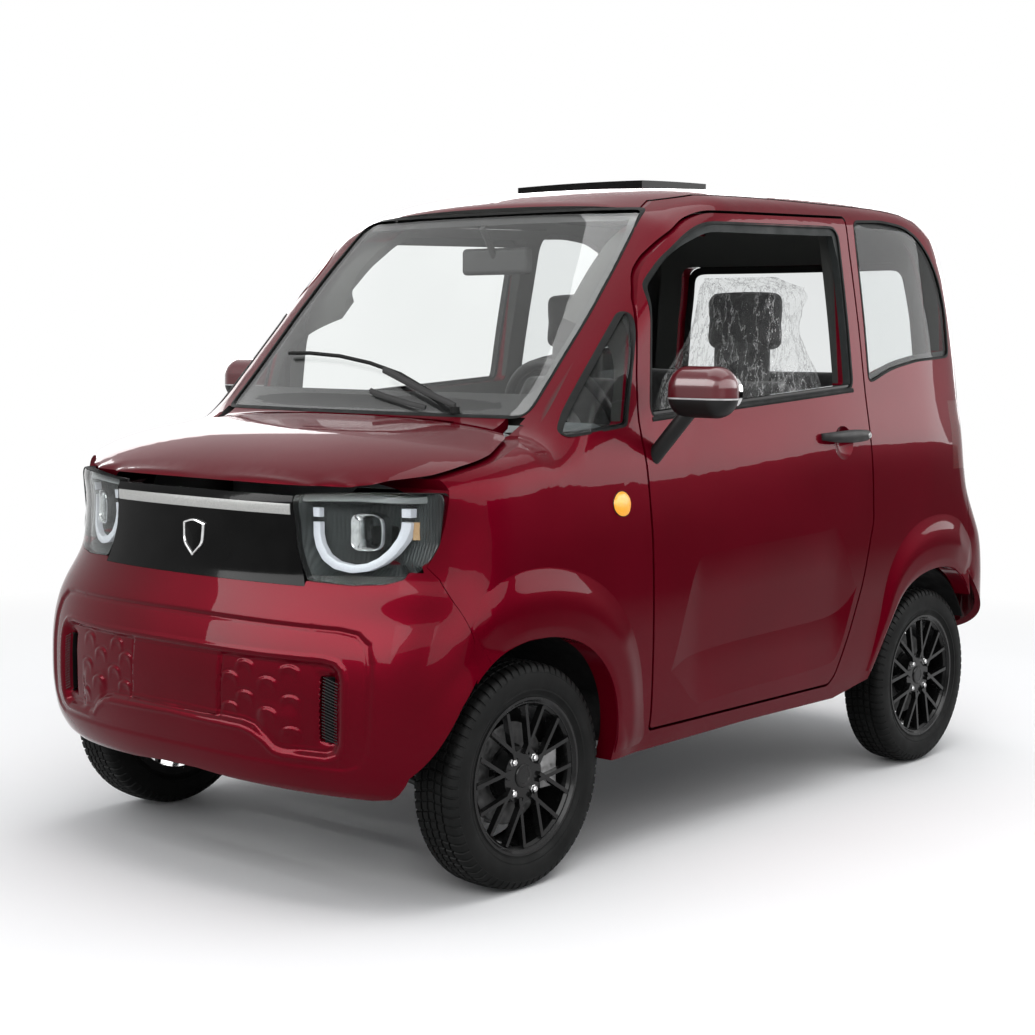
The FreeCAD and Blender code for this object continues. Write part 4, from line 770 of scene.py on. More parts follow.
def bumper_relief(x, z):
    """How far the bumper's face lies under the body's plain surface."""
    spots = np.column_stack([x, z])
    frame_in = signed_distance(spots, both_halves(frame_half))
    well_in = signed_distance(spots, both_halves(well_half))
    upper = blend(0.34, 0.42, z)
    # the crease and the sunken middle it frames
    depth = 0.0035 * soft_step(frame_in - 0.003, 0.016)
    depth += (0.0022 + 0.0022 * upper) * np.exp(-(frame_in / 0.0055) ** 2)
    depth += 0.0125 * soft_step(well_in - 0.007, 0.014) - 0.002 * np.exp(-((well_in + 0.006) / 0.004) ** 2)
    # the shallower mounts low in the middle, either side of the plate
    mount = blend(0.265, 0.297, np.abs(x)) * (1 - blend(0.363, 0.40, np.abs(x))) * (1 - blend(0.405, 0.45, z))
    depth -= 0.0048 * mount * soft_step(well_in - 0.007, 0.014)
    depth += 0.0012 * soft_step(well_in - 0.021, 0.004) * (1 - blend(0.42, 0.47, z))
    # the raised panel for a plate
    wide = np.abs(x)
    half, low_z, high_z = PLATE
    plate_in = np.minimum(half - wide, np.minimum(z - low_z, high_z - z))
    depth -= 0.0045 * soft_step(plate_in - 0.0025, 0.005)
    depth += 0.0015 * np.exp(-((plate_in + 0.002) / 0.0022) ** 2) * (well_in > 0)
    # small crescents
    for cx, cz in DIMPLES:
        dx, dz = wide - cx, z - (cz - 0.030)
        radius = np.hypot(dx, dz * 1.15)
        reach = 1 - blend(0.016, 0.030, np.abs(dx))
        edge = radius - 0.036
        depth -= 0.0024 * reach * blend(-0.020, -0.001, edge) * (1 - blend(-0.001, 0.0035, edge)) * (dz > 0)
        depth += 0.0010 * reach * np.exp(-((edge - 0.006) / 0.003) ** 2) * (dz > 0)
    # the slots near the outer ends, in their pockets
    x0, x1, z0, z1 = SLOT
    pocket_edge = np.array(((x0 - 0.020, z1 + 0.016), (x1 + 0.004, z1 + 0.012), (x1 + 0.004, z0 - 0.008),
                            (x0 - 0.020, z0 - 0.016)))
    pocket = signed_distance(np.column_stack([wide, z]), pocket_edge)
    depth += 0.010 * blend(0.0, 0.018, pocket) * blend(x0 - 0.020, x1, wide)
    slot_in = np.minimum(np.minimum(wide - x0, x1 - wide), np.minimum(z - z0, z1 - z))
    depth += 0.016 * soft_step(slot_in - 0.002, 0.005)
    return depth


BUMPER_HEART = 0.10
seam_line = [(0.18, -0.330), (0.300, -0.335), (0.375, -0.294), (0.452, -0.252), (0.518, -0.203),
             (0.590, -0.213), (0.665, -0.237), (0.714, -0.248), (0.741, -0.264), (0.757, -0.256),
             (0.788, -0.243)]
foot_line = [(0.0, 0.259), (0.060, 0.259), (0.170, 0.250), (0.350, 0.244), (0.520, 0.240), (0.590, 0.250),
             (0.645, 0.290), (0.700, 0.335)]


def bumper_end(z):
    """The angle about the bumper's heart where its side ends, at each height."""
    y = np.interp(z, *np.array(seam_line).T) - 0.0015
    x = side_points(np.column_stack([y, z]))[:, 0]
    return np.arctan2(x, BUMPER_HEART - y)


def bumper_head(x):
    """The bumper's upper edge seen from the front, under the lamps and the nose panel."""
    points = [(0.0, 0.6885), (0.345, 0.6885), (0.350, 0.700), (0.451, 0.696), (0.523, 0.701), (0.558, 0.713),
              (0.582, 0.731), (0.600, 0.756), (0.607, 0.772), (0.66, 0.772)]
    return np.interp(np.abs(x), *np.array(points).T)


def bumper_grid(columns, rows, relief):
    """The bumper's face as a grid, sunk under the body's surface by relief(x, z)."""
    u = np.linspace(-1, 1, columns)
    u = np.sign(u) * (np.abs(u) ** 0.96)
    v = np.linspace(0, 1, rows)
    low_z, high_z = np.full(columns, 0.25), np.full(columns, 0.69)
    for _ in range(4):
        z = low_z + (high_z - low_z) * v[:, None]
        angle = (bumper_end(z.ravel()).reshape(z.shape) * u).ravel()
        start = np.column_stack([np.zeros(z.size), np.full(z.size, BUMPER_HEART), z.ravel()])
        way = np.column_stack([np.sin(angle), -np.cos(angle), np.zeros(z.size)])
        grid = skin(start, way).reshape(rows, columns, 3)
        low_z = np.interp(np.abs(grid[0, :, 0]), *np.array(foot_line).T)
        high_z = bumper_head(grid[-1, :, 0])
    depth = relief(grid[..., 0].ravel(), grid[..., 2].ravel())
    return skin(start, way, depth).reshape(rows, columns, 3)


front = bumper_grid(330, 190, bumper_relief)
rows, columns = front.shape[:2]
rim = border(rows, columns)
edge = np.array([front[i, j] for i, j in rim])
inward = np.array((0.0, 0.35, 0.5)) - edge
inner = edge + inward * (0.030 / np.linalg.norm(inward, axis=1))[:, None]
points = np.concatenate([front.reshape(-1, 3), inner])
faces, count = lattice(rows, columns), rows * columns
for k, (a, b) in enumerate(zip(rim, rim[1:] + rim[:1])):
    faces.append([a[0] * columns + a[1], b[0] * columns + b[1], count + (k + 1) % len(rim), count + k])
bumper = piece("front_bumper_skin", points, faces, red, angle=50.0, slot="red_paint")
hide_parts("front_bumper")
slab("front_bumper_lining", bumper_grid(80, 30, lambda x, z: 0.058), bumper_grid(80, 30, lambda x, z: 0.062),
     liner_black)
x0, x1, z0, z1 = SLOT
WIRES, WIRE_DROP, WIRE_RADIUS = 22, 0.012, 0.0011
for label, side in SIDES:
    spots = [(x0 + (x1 - x0) * i / 5, z0 + (z1 - z0) * j / 20) for j in range(21) for i in range(6)]
    near_face = bumper_relief(*np.array(spots).T) - 0.006
    front, rear = (mirrored(front_points(spots, inset), side).reshape(21, 6, 3)
                   for inset in (near_face, near_face + 0.004))
    slab("bumper_slot_back_" + label, front, rear, liner_black)
    for k in range(WIRES + 1):
        high = z0 + (z1 - z0) * (k / WIRES)
        if high - WIRE_DROP < z0:
            continue
        ends = [(x0, high), (x1, high - WIRE_DROP)]
        inset = bumper_relief(*np.array(ends).T).min() - 0.010
        tube("bumper_mesh_%s_%d" % (label, k), resample(mirrored(front_points(ends, inset), side), 3),
             WIRE_RADIUS, black, sides=4)

# ---------------------------------------------------------------- lamps and nose panel
# Outlines are points (x, z) seen from the front; radii are those of the corners.
lamp_corners = [(0.302, 0.884), (0.308, 0.830), (0.314, 0.775), (0.330, 0.733), (0.350, 0.701),
                (0.451, 0.697), (0.523, 0.702), (0.558, 0.714), (0.582, 0.732), (0.600, 0.757),
                (0.611, 0.788), (0.623, 0.883), (0.616, 0.896), (0.460, 0.894)]
lamp_radii = [0.01, 0.3, 0.1, 0.1, 0.02, 0.3, 0.1, 0.08, 0.08, 0.08, 0.1, 0.02, 0.02, 0.5]
lamp_outline = rounded(lamp_corners, lamp_radii)
lamp_heart = np.array((0.462, 0.800))
drl_line = [(0.3455, 0.826), (0.3452, 0.800), (0.352, 0.775), (0.369, 0.750), (0.395, 0.7345),
            (0.4325, 0.7280), (0.466, 0.7335), (0.492, 0.7475), (0.5125, 0.768), (0.5275, 0.793),
            (0.5355, 0.817), (0.537, 0.832)]
drl_tips = [[(0.3470, 0.857), (0.3462, 0.8375)], [(0.5375, 0.8425), (0.5385, 0.861)]]


def bar(name, line, half, near, far, material, side, lay=front_points, **options):
    """A flat bar along a front-view line, between two insets."""
    line = resample(line, max(2, len(line) * 4))
    way = unit(np.gradient(line, axis=0))
    across = np.column_stack([-way[:, 1], way[:, 0]])
    rows = []
    bevel = near + 0.001
    for share, inset in ((-1, far), (-1, bevel), (-0.7, near), (0.7, near), (1, bevel), (1, far)):
        rows.append(mirrored(lay(line + across * half * share, inset), side))
    faces = lattice(len(rows), len(line), wrap_rows=True)
    count = len(line)
    faces += [[k * count for k in range(6)], [k * count + count - 1 for k in range(6)][::-1]]
    return piece(name, np.array(rows).reshape(-1, 3), faces, material, **options)


# Each ring of a lamp's part: its share of the outline, and how far it lies under the body's surface.
HOUSING = ((0.997, 0.0143), (0.985, 0.0152), (0.965, 0.0170), (0.94, 0.0200), (0.88, 0.036), (0.70, 0.056),
           (0.45, 0.058), (0.20, 0.058))
GASKET = ((1.001, 0.0008), (1.001, 0.016), (1.006, 0.016), (1.006, 0.0008))
EYE = ((1.08, 0.040), (1.05, 0.024), (1.0, 0.021), (0.93, 0.023), (0.80, 0.034), (0.66, 0.050), (0.64, 0.058))
eye = rounded([(0.424, 0.848), (0.424, 0.768), (0.488, 0.768), (0.488, 0.848)], [0.024] * 4)
dome = [(0.022 * math.cos(t) - 0.010, 0.0245 * math.sin(t)) for t in np.linspace(0.06, math.pi / 2, 10)]
dome += [(-0.020, 0.0245), (-0.020, 0.002)]
for label, side in SIDES:
    rings = []
    for ring in rings_on(front_points, lamp_heart, lamp_outline, HOUSING):
        ring[:, 1] = np.minimum(ring[:, 1], np.interp(ring[:, 2], *np.array(seam_line).T) - 0.004)
        rings.append(mirrored(ring, side))
    rear = [ring + np.array((0, 0.004, 0)) for ring in rings[::-1]]
    skinned("lamp_housing_" + label, rings + rear, housing, angle=40.0)
    gasket = rings_on(front_points, lamp_heart, lamp_outline, GASKET, side)
    skinned("lamp_gasket_" + label, gasket, liner_black, angle=40.0)
    bar("lamp_floor_" + label, [(0.35, 0.800), (0.57, 0.800)], 0.095, 0.0605, 0.063, gloss_black, side)
    bar("running_light_" + label, drl_line, 0.0085, 0.018, 0.030, white_lamp, side)
    for k, tip in enumerate(drl_tips):
        bar("running_light_tip_%s_%d" % (label, k), tip, 0.0080, 0.018, 0.030, white_lamp, side)
    bar("turn_lamp_" + label, [(0.5575, 0.794), (0.5575, 0.832)], 0.0145, 0.024, 0.034, amber_dull, side)
    bar("lamp_brow_" + label, [(0.312, 0.877), (0.45, 0.882), (0.54, 0.879), (0.61, 0.884)], 0.0075, 0.0150,
        0.022, brow_grey, side)
    rim = rings_on(front_points, (0.462, 0.808), eye, EYE, side)
    skinned("projector_rim_" + label, rim, chrome, angle=60.0)
    spot = mirrored(front_points([(0.463, 0.808)], 0.040), side)[0]
    way = np.array((0.10 * side, -1.0, 0.0))
    lathe("projector_lens_" + label, dome, spot, lens, 40, way / np.linalg.norm(way))

bar("nose_strip", [(x, 0.852) for x in np.linspace(-0.2965, 0.2965, 30)], 0.0115, -0.0022, 0.002,
    strip_white, 1)
shield = rounded([(0.0, 0.816), (-0.036, 0.806), (-0.033, 0.758), (0.0, 0.729), (0.033, 0.758),
                  (0.036, 0.806)], [0.06, 0.004, 0.03, 0.006, 0.03, 0.004])
SHIELD_RIM = ((1.0, 0.001), (1.0, -0.004), (0.95, -0.006), (0.88, -0.006), (0.84, -0.003), (0.83, 0.001))
SHIELD_FACE = ((0.84, 0.001), (0.84, -0.0030), (0.6, -0.0042), (0.3, -0.0050), (0.02, -0.0052), (0.02, 0.001))
for name, table, material in (("rim", SHIELD_RIM, chrome), ("face", SHIELD_FACE, gloss_black)):
    skinned("nose_shield_" + name, rings_on(front_points, (0.0, 0.776), shield, table), material, angle=50.0)

# ---------------------------------------------------------------- glass edges, seals, markers and mirrors
# Outlines are points (y, z) seen from the side, or (x, z) seen from the front or behind.
door_window = rounded([(0.458, 1.042), (0.478, 1.352), (0.553, 1.422), (0.627, 1.474), (0.697, 1.507),
                       (0.748, 1.519), (1.358, 1.538), (1.345, 1.102)],
                      [0.015, 0.030, 0.40, 0.35, 0.30, 0.30, 0.030, 0.020], count=240)
quarter_window = rounded([(1.432, 1.116), (1.447, 1.560), (1.600, 1.569), (1.724, 1.560), (1.803, 1.531),
                          (1.867, 1.484), (1.912, 1.420), (1.935, 1.336), (1.924, 1.190), (1.710, 1.178),
                          (1.564, 1.156)],
                         [0.015, 0.020, 0.60, 0.25, 0.20, 0.20, 0.20, 0.20, 0.025, 0.60, 0.60], count=240)
front_quarter = rounded([(0.142, 1.006), (0.424, 1.306), (0.362, 1.026)], [0.006, 0.008, 0.012])
screen_half = [(0.515, 1.045), (0.512, 1.150), (0.511, 1.290), (0.502, 1.400), (0.488, 1.500), (0.474, 1.553)]
screen_edge = rounded(screen_half + [(-x, z) for x, z in screen_half[::-1]],
                      [0.02, 0.5, 0.5, 0.5, 0.3, 0.02, 0.02, 0.3, 0.5, 0.5, 0.5, 0.02], count=320)
gate_half = [(0.455, 1.085), (0.435, 1.300), (0.405, 1.475)]
gate_edge = rounded(gate_half + [(-x, z) for x, z in gate_half[::-1]], [0.05, 0.4, 0.06, 0.06, 0.4, 0.05],
                    count=200)
frit = plastic("glass_frit", tone(0.003), tone(0.005), 0.35, 300.0, 0.00002, 0.4, 0.2)


def ring_band(name, edge, widths, levels, lay, material, side=1, **options):
    """A flat band along a closed edge, between two widths inward and two levels under the surface."""
    outer, inner = (shrunk(edge, width) for width in widths)
    near, far = levels
    rows = [mirrored(lay(line, inset), side) for line, inset in
            ((outer, far), (outer, near), (inner, near), (inner, far))]
    return skinned(name, rows, material, angle=40.0, **options)


def pane_edge(name, edge, border_widths, seal_widths, seal_top, lay, label="", side=1, **options):
    """The dark border printed on a fixed pane, and the rubber seal round it."""
    ring_band(name + "_frit" + label, edge, border_widths, (0.0080, 0.0088), lay, frit, side, **options)
    ring_band(name + "_seal" + label, edge, seal_widths, (seal_top, 0.006), lay, rubber, side, **options)


screen_border = (0.026 + 0.026 * (1 - blend(1.05, 1.13, screen_edge[:, 1]))
                 + 0.006 * blend(1.48, 1.54, screen_edge[:, 1]))
pane_edge("windshield", screen_edge, (0.001, screen_border), (-0.003, 0.004), -0.0008, screen_points)
pane_edge("tailgate", gate_edge, (0.001, 0.022), (-0.002, 0.003), -0.0006, tail_points,
          carrier="tailgate_body")
door_border = (0.0085 + 0.0145 * blend(1.44, 1.51, door_window[:, 1])
               - 0.004 * (1 - blend(1.06, 1.12, door_window[:, 1])))
belt = [(0.462 + 0.883 * t, 1.040 + 0.060 * t) for t in np.linspace(0, 1, 24)]
MARKER = np.array((0.304, 0.8475))
MARKER_LENS = ((1.0, 0.004), (1.0, -0.001), (0.94, -0.0042), (0.80, -0.0062), (0.5, -0.0078), (0.2, -0.0083),
               (0.02, -0.0085), (0.02, 0.004))
MARKER_SEAT = ((1.07, 0.003), (1.07, -0.0008), (0.99, -0.0012), (0.99, 0.003))
marker = MARKER + rounded([(-0.033, 0.008), (-0.014, 0.029), (0.016, 0.029), (0.034, 0.004), (0.020, -0.027),
                           (-0.008, -0.029), (-0.030, -0.014)], [0.05] * 7, count=60)
MIRROR_X, MIRROR_HEIGHT, MIRROR_HALF = 0.787, 1.106, (0.074, 0.046)
MIRROR_RINGS = ((1.0, 0.500), (1.0, 0.5125), (0.96, 0.5145), (0.5, 0.5145), (0.02, 0.5145), (0.02, 0.500))
mirror_loop = np.array([(math.cos(t), math.sin(t)) for t in turns(48)])
mirror_loop = np.sign(mirror_loop) * np.abs(mirror_loop) ** 0.8
GRIP_HEIGHT = 0.977
LOCK = [(0.0, 0.0075), (0.0015, 0.0075), (0.0022, 0.0068), (0.0022, 0.0004), (0.0, 0.0004)]
for label, side in SIDES:
    door, end = "door_%s_body" % label, "_" + label
    ring_band("door_window_seal" + end, door_window, (-0.0015, door_border), (0.0045, 0.024), side_points,
              seal_grey, side, carrier=door)
    ring_band("door_window_lip" + end, door_window, (-0.0035, 0.0030), (-0.0008, 0.008), side_points, rubber,
              side, carrier=door)
    pane_edge("quarter", quarter_window, (0.001, 0.017), (-0.003, 0.004), -0.0010, side_points, end, side)
    pane_edge("front_quarter", front_quarter, (0.0005, 0.007), (-0.003, 0.003), -0.0010, side_points, end,
              side)
    bar("belt_strip" + end, [(y, z - 0.002) for y, z in belt], 0.0055, -0.0022, 0.006, rubber, side,
        lay=side_points, carrier=door)
    bar("belt_wiper" + end, [(y, z + 0.011) for y, z in belt], 0.0045, 0.004, 0.020, gloss_black, side,
        lay=side_points, carrier=door)
    for name, table, material in (("", MARKER_LENS, amber), ("_seat", MARKER_SEAT, rubber)):
        rings = rings_on(side_points, MARKER, marker, table, side)
        skinned("side_marker%s_%s" % (name, label), rings, material, angle=50.0)
    rows = [[(side * (MIRROR_X + MIRROR_HALF[0] * s * u), y, MIRROR_HEIGHT + MIRROR_HALF[1] * s * v)
             for u, v in mirror_loop] for s, y in MIRROR_RINGS]
    skinned("mirror_glass" + end, rows, mirror_glass, carrier=door, angle=50.0)
    lathe("door_lock" + end, LOCK, (side * 0.7118, 1.349, GRIP_HEIGHT), steel, 28, (side, 0, 0), carrier=door)

# ---------------------------------------------------------------- raised flares round the wheel arches
# Each row: place along Y, height, the flare's width there and how proud it stands, as shares.
front_flare = [(-0.168, 0.534, 0.100, 0.0), (-0.125, 0.556, 0.145, 0.6), (-0.050, 0.572, 0.165, 1.0),
               (0.045, 0.572, 0.165, 1.0), (0.130, 0.551, 0.160, 1.0), (0.195, 0.514, 0.155, 1.0),
               (0.244, 0.456, 0.140, 1.0), (0.269, 0.396, 0.126, 0.9), (0.282, 0.312, 0.118, 0.7),
               (0.285, 0.268, 0.116, 0.5)]
rear_flare = [(1.444, 0.316, 0.030, 0.2), (1.478, 0.380, 0.036, 0.4), (1.528, 0.454, 0.060, 0.8),
              (1.577, 0.523, 0.100, 1.0), (1.654, 0.565, 0.145, 1.0), (1.747, 0.581, 0.165, 1.0),
              (1.813, 0.583, 0.165, 1.0), (1.882, 0.571, 0.160, 0.9), (1.941, 0.538, 0.130, 0.5),
              (1.966, 0.510, 0.100, 0.0)]
FLARE_PROUD, FLARE_ROWS, FLARE_COLUMNS = 0.015, 20, 90
FLARE_GAP, FLARE_THICK = 0.0012, 0.0035
for end, axle, table in (("front", 0.0, front_flare), ("rear", REAR_AXLE, rear_flare)):
    line = smoothed(resample(table, FLARE_COLUMNS), 8)
    way = unit(line[:, :2] - np.array((axle, TYRE_RADIUS)))
    share = np.linspace(0, 1, FLARE_ROWS)[:, None]
    spots = line[None, :, :2] + way[None] * (FLARE_GAP + share * line[None, :, 2])[..., None]
    flat = spots.reshape(-1, 2)
    found = side_points(flat)
    plain = found[:, 0] - flare(flat[:, 0], flat[:, 1], 0.0) - flare(flat[:, 0], flat[:, 1], REAR_AXLE)
    strength = line[None, :, 3]
    rise = FLARE_PROUD * strength * (1 - blend(0.42, 1.0, share)) - FLARE_GAP * blend(0.85, 1.0, share)
    rise = rise - 0.0030 * (1 - blend(0.0, 0.09, share)) * strength
    top = np.column_stack([plain + rise.ravel(), flat])
    lower_half = np.repeat(share.ravel() < 0.5, FLARE_COLUMNS)
    top[:, 0] = np.where(lower_half, np.maximum(top[:, 0], found[:, 0] + 0.0006), top[:, 0])
    under = np.column_stack([plain - FLARE_THICK, flat])
    for label, side in SIDES:
        face, back = (mirrored(grid, side).reshape(FLARE_ROWS, FLARE_COLUMNS, 3) for grid in (top, under))
        slab("arch_flare_%s_%s" % (end, label), face, back, red, slot="red_paint")

# ---------------------------------------------------------------- door grips, cowl ends and wiper arms
# Each row of the grip: x, place along Y, half height, half thickness.
grip_line = [(0.676, 1.163, 0.009, 0.006), (0.694, 1.171, 0.012, 0.008), (0.703, 1.195, 0.0145, 0.009),
             (0.707, 1.230, 0.0165, 0.009), (0.708, 1.270, 0.0175, 0.009), (0.707, 1.315, 0.0165, 0.009),
             (0.703, 1.352, 0.0140, 0.009), (0.696, 1.374, 0.0115, 0.008), (0.678, 1.383, 0.009, 0.006)]
grip_rows = smoothed(resample(grip_line, 40), 3)
angles = turns(24)
for label, side in SIDES:
    rings = [np.column_stack([side * (x + thick * np.cos(angles)), np.full(len(angles), y),
                              GRIP_HEIGHT + tall * np.sin(angles)]) for x, y, tall, thick in grip_rows]
    grip = stack("door_grip_" + label, rings, black, carrier="door_%s_body" % label, slot="black_plastic")
    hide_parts("door_handle_" + label)
for label, side in SIDES:
    spots = [(x, y) for x in np.linspace(0.520, 0.586, 6) for y in np.linspace(0.046, 0.128, 6)]
    top, under = (mirrored(top_points(spots, inset), side).reshape(6, 6, 3) for inset in (0.014, 0.020))
    slab("cowl_end_" + label, top, under, liner_black)
WIPERS = (("wiper_arm", [(0.325, 0.112), (0.206, 0.137), (0.110, 0.160), (0.020, 0.182)], 0.0034, -0.022),
          ("wiper_arm_short", [(0.230, 0.112), (0.150, 0.122), (0.060, 0.136), (0.010, 0.146)], 0.0030, -0.010))
for (name, line, half, near), thick in zip(WIPERS, (0.008, 0.007)):
    bar(name, line, half, near, near + thick, black, 1, lay=top_points)

# ---------------------------------------------------------------- tyres, nuts and brakes
SIPES = 70


def tyre_profile():
    """Bead, sidewall with a raised ring, and four grooves in the tread, as (across, radius)."""
    section = [(-0.048, 0.1655), (-0.0545, 0.1790), (-0.0545, 0.183), (-0.0600, 0.192), (-0.0612, 0.193),
               (-0.0612, 0.197), (-0.0618, 0.198), (-0.0636, 0.206), (-0.0640, 0.216), (-0.0630, 0.226),
               (-0.0612, 0.233), (-0.0618, 0.2338), (-0.0606, 0.2385), (-0.0585, 0.2430), (-0.0560, 0.2470),
               (-0.0525, 0.2500), (-0.0480, 0.2520), (-0.0440, 0.2530)]
    lands = [(-0.0420, 0.2533), (-0.0330, 0.2544)]
    for place in (-0.0295, -0.0100, 0.0100, 0.0295):
        top = TYRE_RADIUS - 0.0016 * (place / 0.0295) ** 2
        lands += [(place - 0.0026, top), (place - 0.0019, top - 0.0055), (place + 0.0019, top - 0.0055),
                  (place + 0.0026, top)]
        if place < 0.02:
            lands.append((place + 0.0098, TYRE_RADIUS - 0.0012 * ((place + 0.0098) / 0.0295) ** 2))
    outer = section + lands + [(0.0330, 0.2544), (0.0420, 0.2533)] + [(-a, r) for a, r in section[::-1]]
    return np.array(outer + [(0.040, 0.1660), (0.0, 0.1650), (-0.040, 0.1660)])


def tyre(name, x, y, side, carrier):
    """A road tyre with sipes cut across its shoulders and its middle."""
    across, high = tyre_profile().T
    wide = np.abs(across)
    shoulder = blend(0.040, 0.043, wide) * (1 - blend(0.0600, 0.0622, wide)) * (high > 0.236)
    middle = (wide < 0.036) * (high > 0.2520)
    lean = 0.55 * wide / 0.06 * (high > 0.23)
    points = []
    for k in range(SIPES):
        for share in (0.0, 0.30, 0.60, 0.66, 0.86, 0.92):
            at_shoulder, at_middle = shoulder * (0.63 < share < 0.90), middle * (0.63 < share < 0.88)
            angle = (k + share + lean) * 2 * math.pi / SIPES
            radius = high - 0.0036 * at_shoulder - 0.0030 * at_middle
            along = across - np.sign(across) * 0.0008 * at_shoulder
            points.append(np.column_stack([x + side * along, y + radius * np.cos(angle),
                                           TYRE_RADIUS + radius * np.sin(angle)]))
    made = skinned(name + "_tread", points, rubber, carrier=carrier, angle=28.0, slot="tyre")
    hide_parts(name)


WHEELS = (("front", 0.0, 0.598), ("rear", REAR_AXLE, 0.587))   # end, axle, the wheel's middle from the car's
NUT_CIRCLE = 0.050
NUT = [(0.0, 0.0092), (0.0100, 0.0092), (0.0105, 0.0080), (0.0160, 0.0074), (0.0180, 0.0050),
       (0.0185, 0.0004), (0.0, 0.0004)]
CAP = [(0.038, 0.0270), (0.0440, 0.0265), (0.0460, 0.0245), (0.0465, 0.0180), (0.0455, 0.0170),
       (0.0455, 0.0004), (0.038, 0.0004)]
DISC = [(-0.0005, 0.115), (0.0006, 0.115), (0.0010, 0.113), (0.0010, 0.070), (0.0002, 0.068),
        (-0.0005, 0.068)]
for end, y, from_middle in WHEELS:
    for label, side in SIDES:
        corner, x, out = "%s_%s" % (end, label), side * from_middle, (side, 0, 0)
        wheel = "wheel_" + corner
        tyre("tyre_" + corner, x, y, side, wheel)
        for k in range(4):
            turn_to = math.radians(45 + 90 * k)
            spot = (x + side * 0.034, y + NUT_CIRCLE * math.cos(turn_to),
                    TYRE_RADIUS + NUT_CIRCLE * math.sin(turn_to))
            lathe("wheel_nut_%s_%d" % (corner, k), NUT, spot, steel, 6, out, carrier=wheel, angle=25.0)
        lathe("wheel_cap_" + corner, CAP, (x, y, TYRE_RADIUS), alloy, 48, out, carrier=wheel)
        lathe("brake_face_" + corner, DISC, (x, y, TYRE_RADIUS), disc_grey, 72, out, carrier=wheel)

# ---------------------------------------------------------------- seats and bench
LEAN = math.radians(14.0)
SEAT_X = 0.300                   # a front seat's middle from the car's
SWELL_STEPS = 20
pads = []


class Pad:
    """A stuffed form on an even grid: made slightly small, swollen as cloth, then sewn."""

    def __init__(self, name, centre, half, corner, lean=0.0, foot=(0.0, 0.0, 0.0), shape=None, seams=(),
                 cap=0.010, step=0.014):
        half = np.array(half)
        counts = [max(4, int(2 * h / step)) for h in half]
        points, faces = [], []
        for axis in range(3):
            a, b = ((1, 2), (2, 0), (0, 1))[axis]
            for sign in (-1, 1):
                u, v = np.meshgrid(np.linspace(-1, 1, counts[a] + 1), np.linspace(-1, 1, counts[b] + 1),
                                   indexing="ij")
                grid = np.zeros((u.size, 3))
                grid[:, axis] = sign * half[axis]
                grid[:, a], grid[:, b] = u.ravel() * half[a], v.ravel() * half[b]
                core = np.clip(grid, -(half - corner), half - corner)
                out = grid - core
                out *= corner / np.linalg.norm(out, axis=1)[:, None]
                faces += lattice(counts[a] + 1, counts[b] + 1, offset=len(points))
                points += (core + out).tolist()
        points = np.array(points)
        if shape is not None:
            points = shape(points, half)
        self.centre, self.foot, self.lean = np.array(centre), np.array(foot), lean
        self.name, self.seams, self.cap, self.half = name, seams, cap, half
        self.made = piece(name, self.out(points), faces, seat_cloth, angle=180.0, slot="seat_cloth")
        self.start = self.read(self.made.data)
        pads.append(self)

    @staticmethod
    def turned(points, lean):
        x, y, z = points.T
        c, s = math.cos(lean), math.sin(lean)
        return np.column_stack([x, y * c + z * s, z * c - y * s])

    def out(self, points):
        """From the pad's own place to the car's."""
        return self.turned(points + self.centre, self.lean) + self.foot

    def back(self, points):
        return self.turned(points - self.foot - np.array((0.0, AXLE, 0.0)), -self.lean) - self.centre

    @staticmethod
    def read(mesh, key="co"):
        held = np.empty(len(mesh.vertices) * 3)
        mesh.vertices.foreach_get(key, held)
        return held.reshape(-1, 3)

    def write(self, points):
        self.made.data.vertices.foreach_set("co", np.asarray(points).ravel())
        self.made.data.update()


def seat_back_shape(p, half):
    x, y, z = p.T.copy()
    up, out = z / half[2], np.abs(x) / half[0]
    x = x * (1 - 0.17 * blend(0.1, 1.0, up))
    front = blend(0.2, 0.8, -y / half[1])
    y = y - 0.016 * front * blend(0.50, 0.82, out) * (1 - blend(0.6, 0.98, np.abs(up)))
    y = y + 0.006 * front * (1 - blend(0.2, 0.6, out)) * (1 - blend(0.5, 0.9, np.abs(up)))
    return np.column_stack([x, y, z])


def seat_base_shape(p, half):
    x, y, z = p.T.copy()
    out = np.abs(x) / half[0]
    top = blend(0.2, 0.8, z / half[2])
    z = z + 0.010 * top * blend(0.55, 0.85, out) - 0.006 * top * (1 - blend(0.2, 0.6, out))
    return np.column_stack([x, y, z])


back_seams = [("x", 0.62, 1), ("x", -0.62, 1), ("z", 0.55, 1), ("z", 0.10, 1), ("z", -0.35, 1),
              ("edge", 1.0, 1)]
base_seams = [("x", 0.62, 2), ("x", -0.62, 2), ("y", 0.10, 2), ("y", -0.45, 2), ("edge", 1.0, 2)]
Pad("seat_back_left", (SEAT_X, 0.060, 0.300), (0.214, 0.050, 0.286), 0.040, LEAN, (0.0, 1.130, 0.570),
    seat_back_shape, back_seams)
Pad("seat_base_left", (SEAT_X, 0.960, 0.530), (0.214, 0.220, 0.058), 0.040, shape=seat_base_shape,
    seams=base_seams)
Pad("seat_head_left", (SEAT_X, 1.350, 1.285), (0.116, 0.036, 0.082), 0.032, seams=[("edge", 1.0, 1)],
    cap=0.007, step=0.009)
Pad("seat_neck_left", (SEAT_X, 1.338, 1.168), (0.088, 0.030, 0.062), 0.027, cap=0.006, step=0.012)
Pad("bench_back", (0.0, 1.850, 0.930), (0.490, 0.041, 0.221), 0.034,
    seams=[("x", 0.0, 1), ("z", 0.35, 1), ("edge", 1.0, 1)], step=0.016)
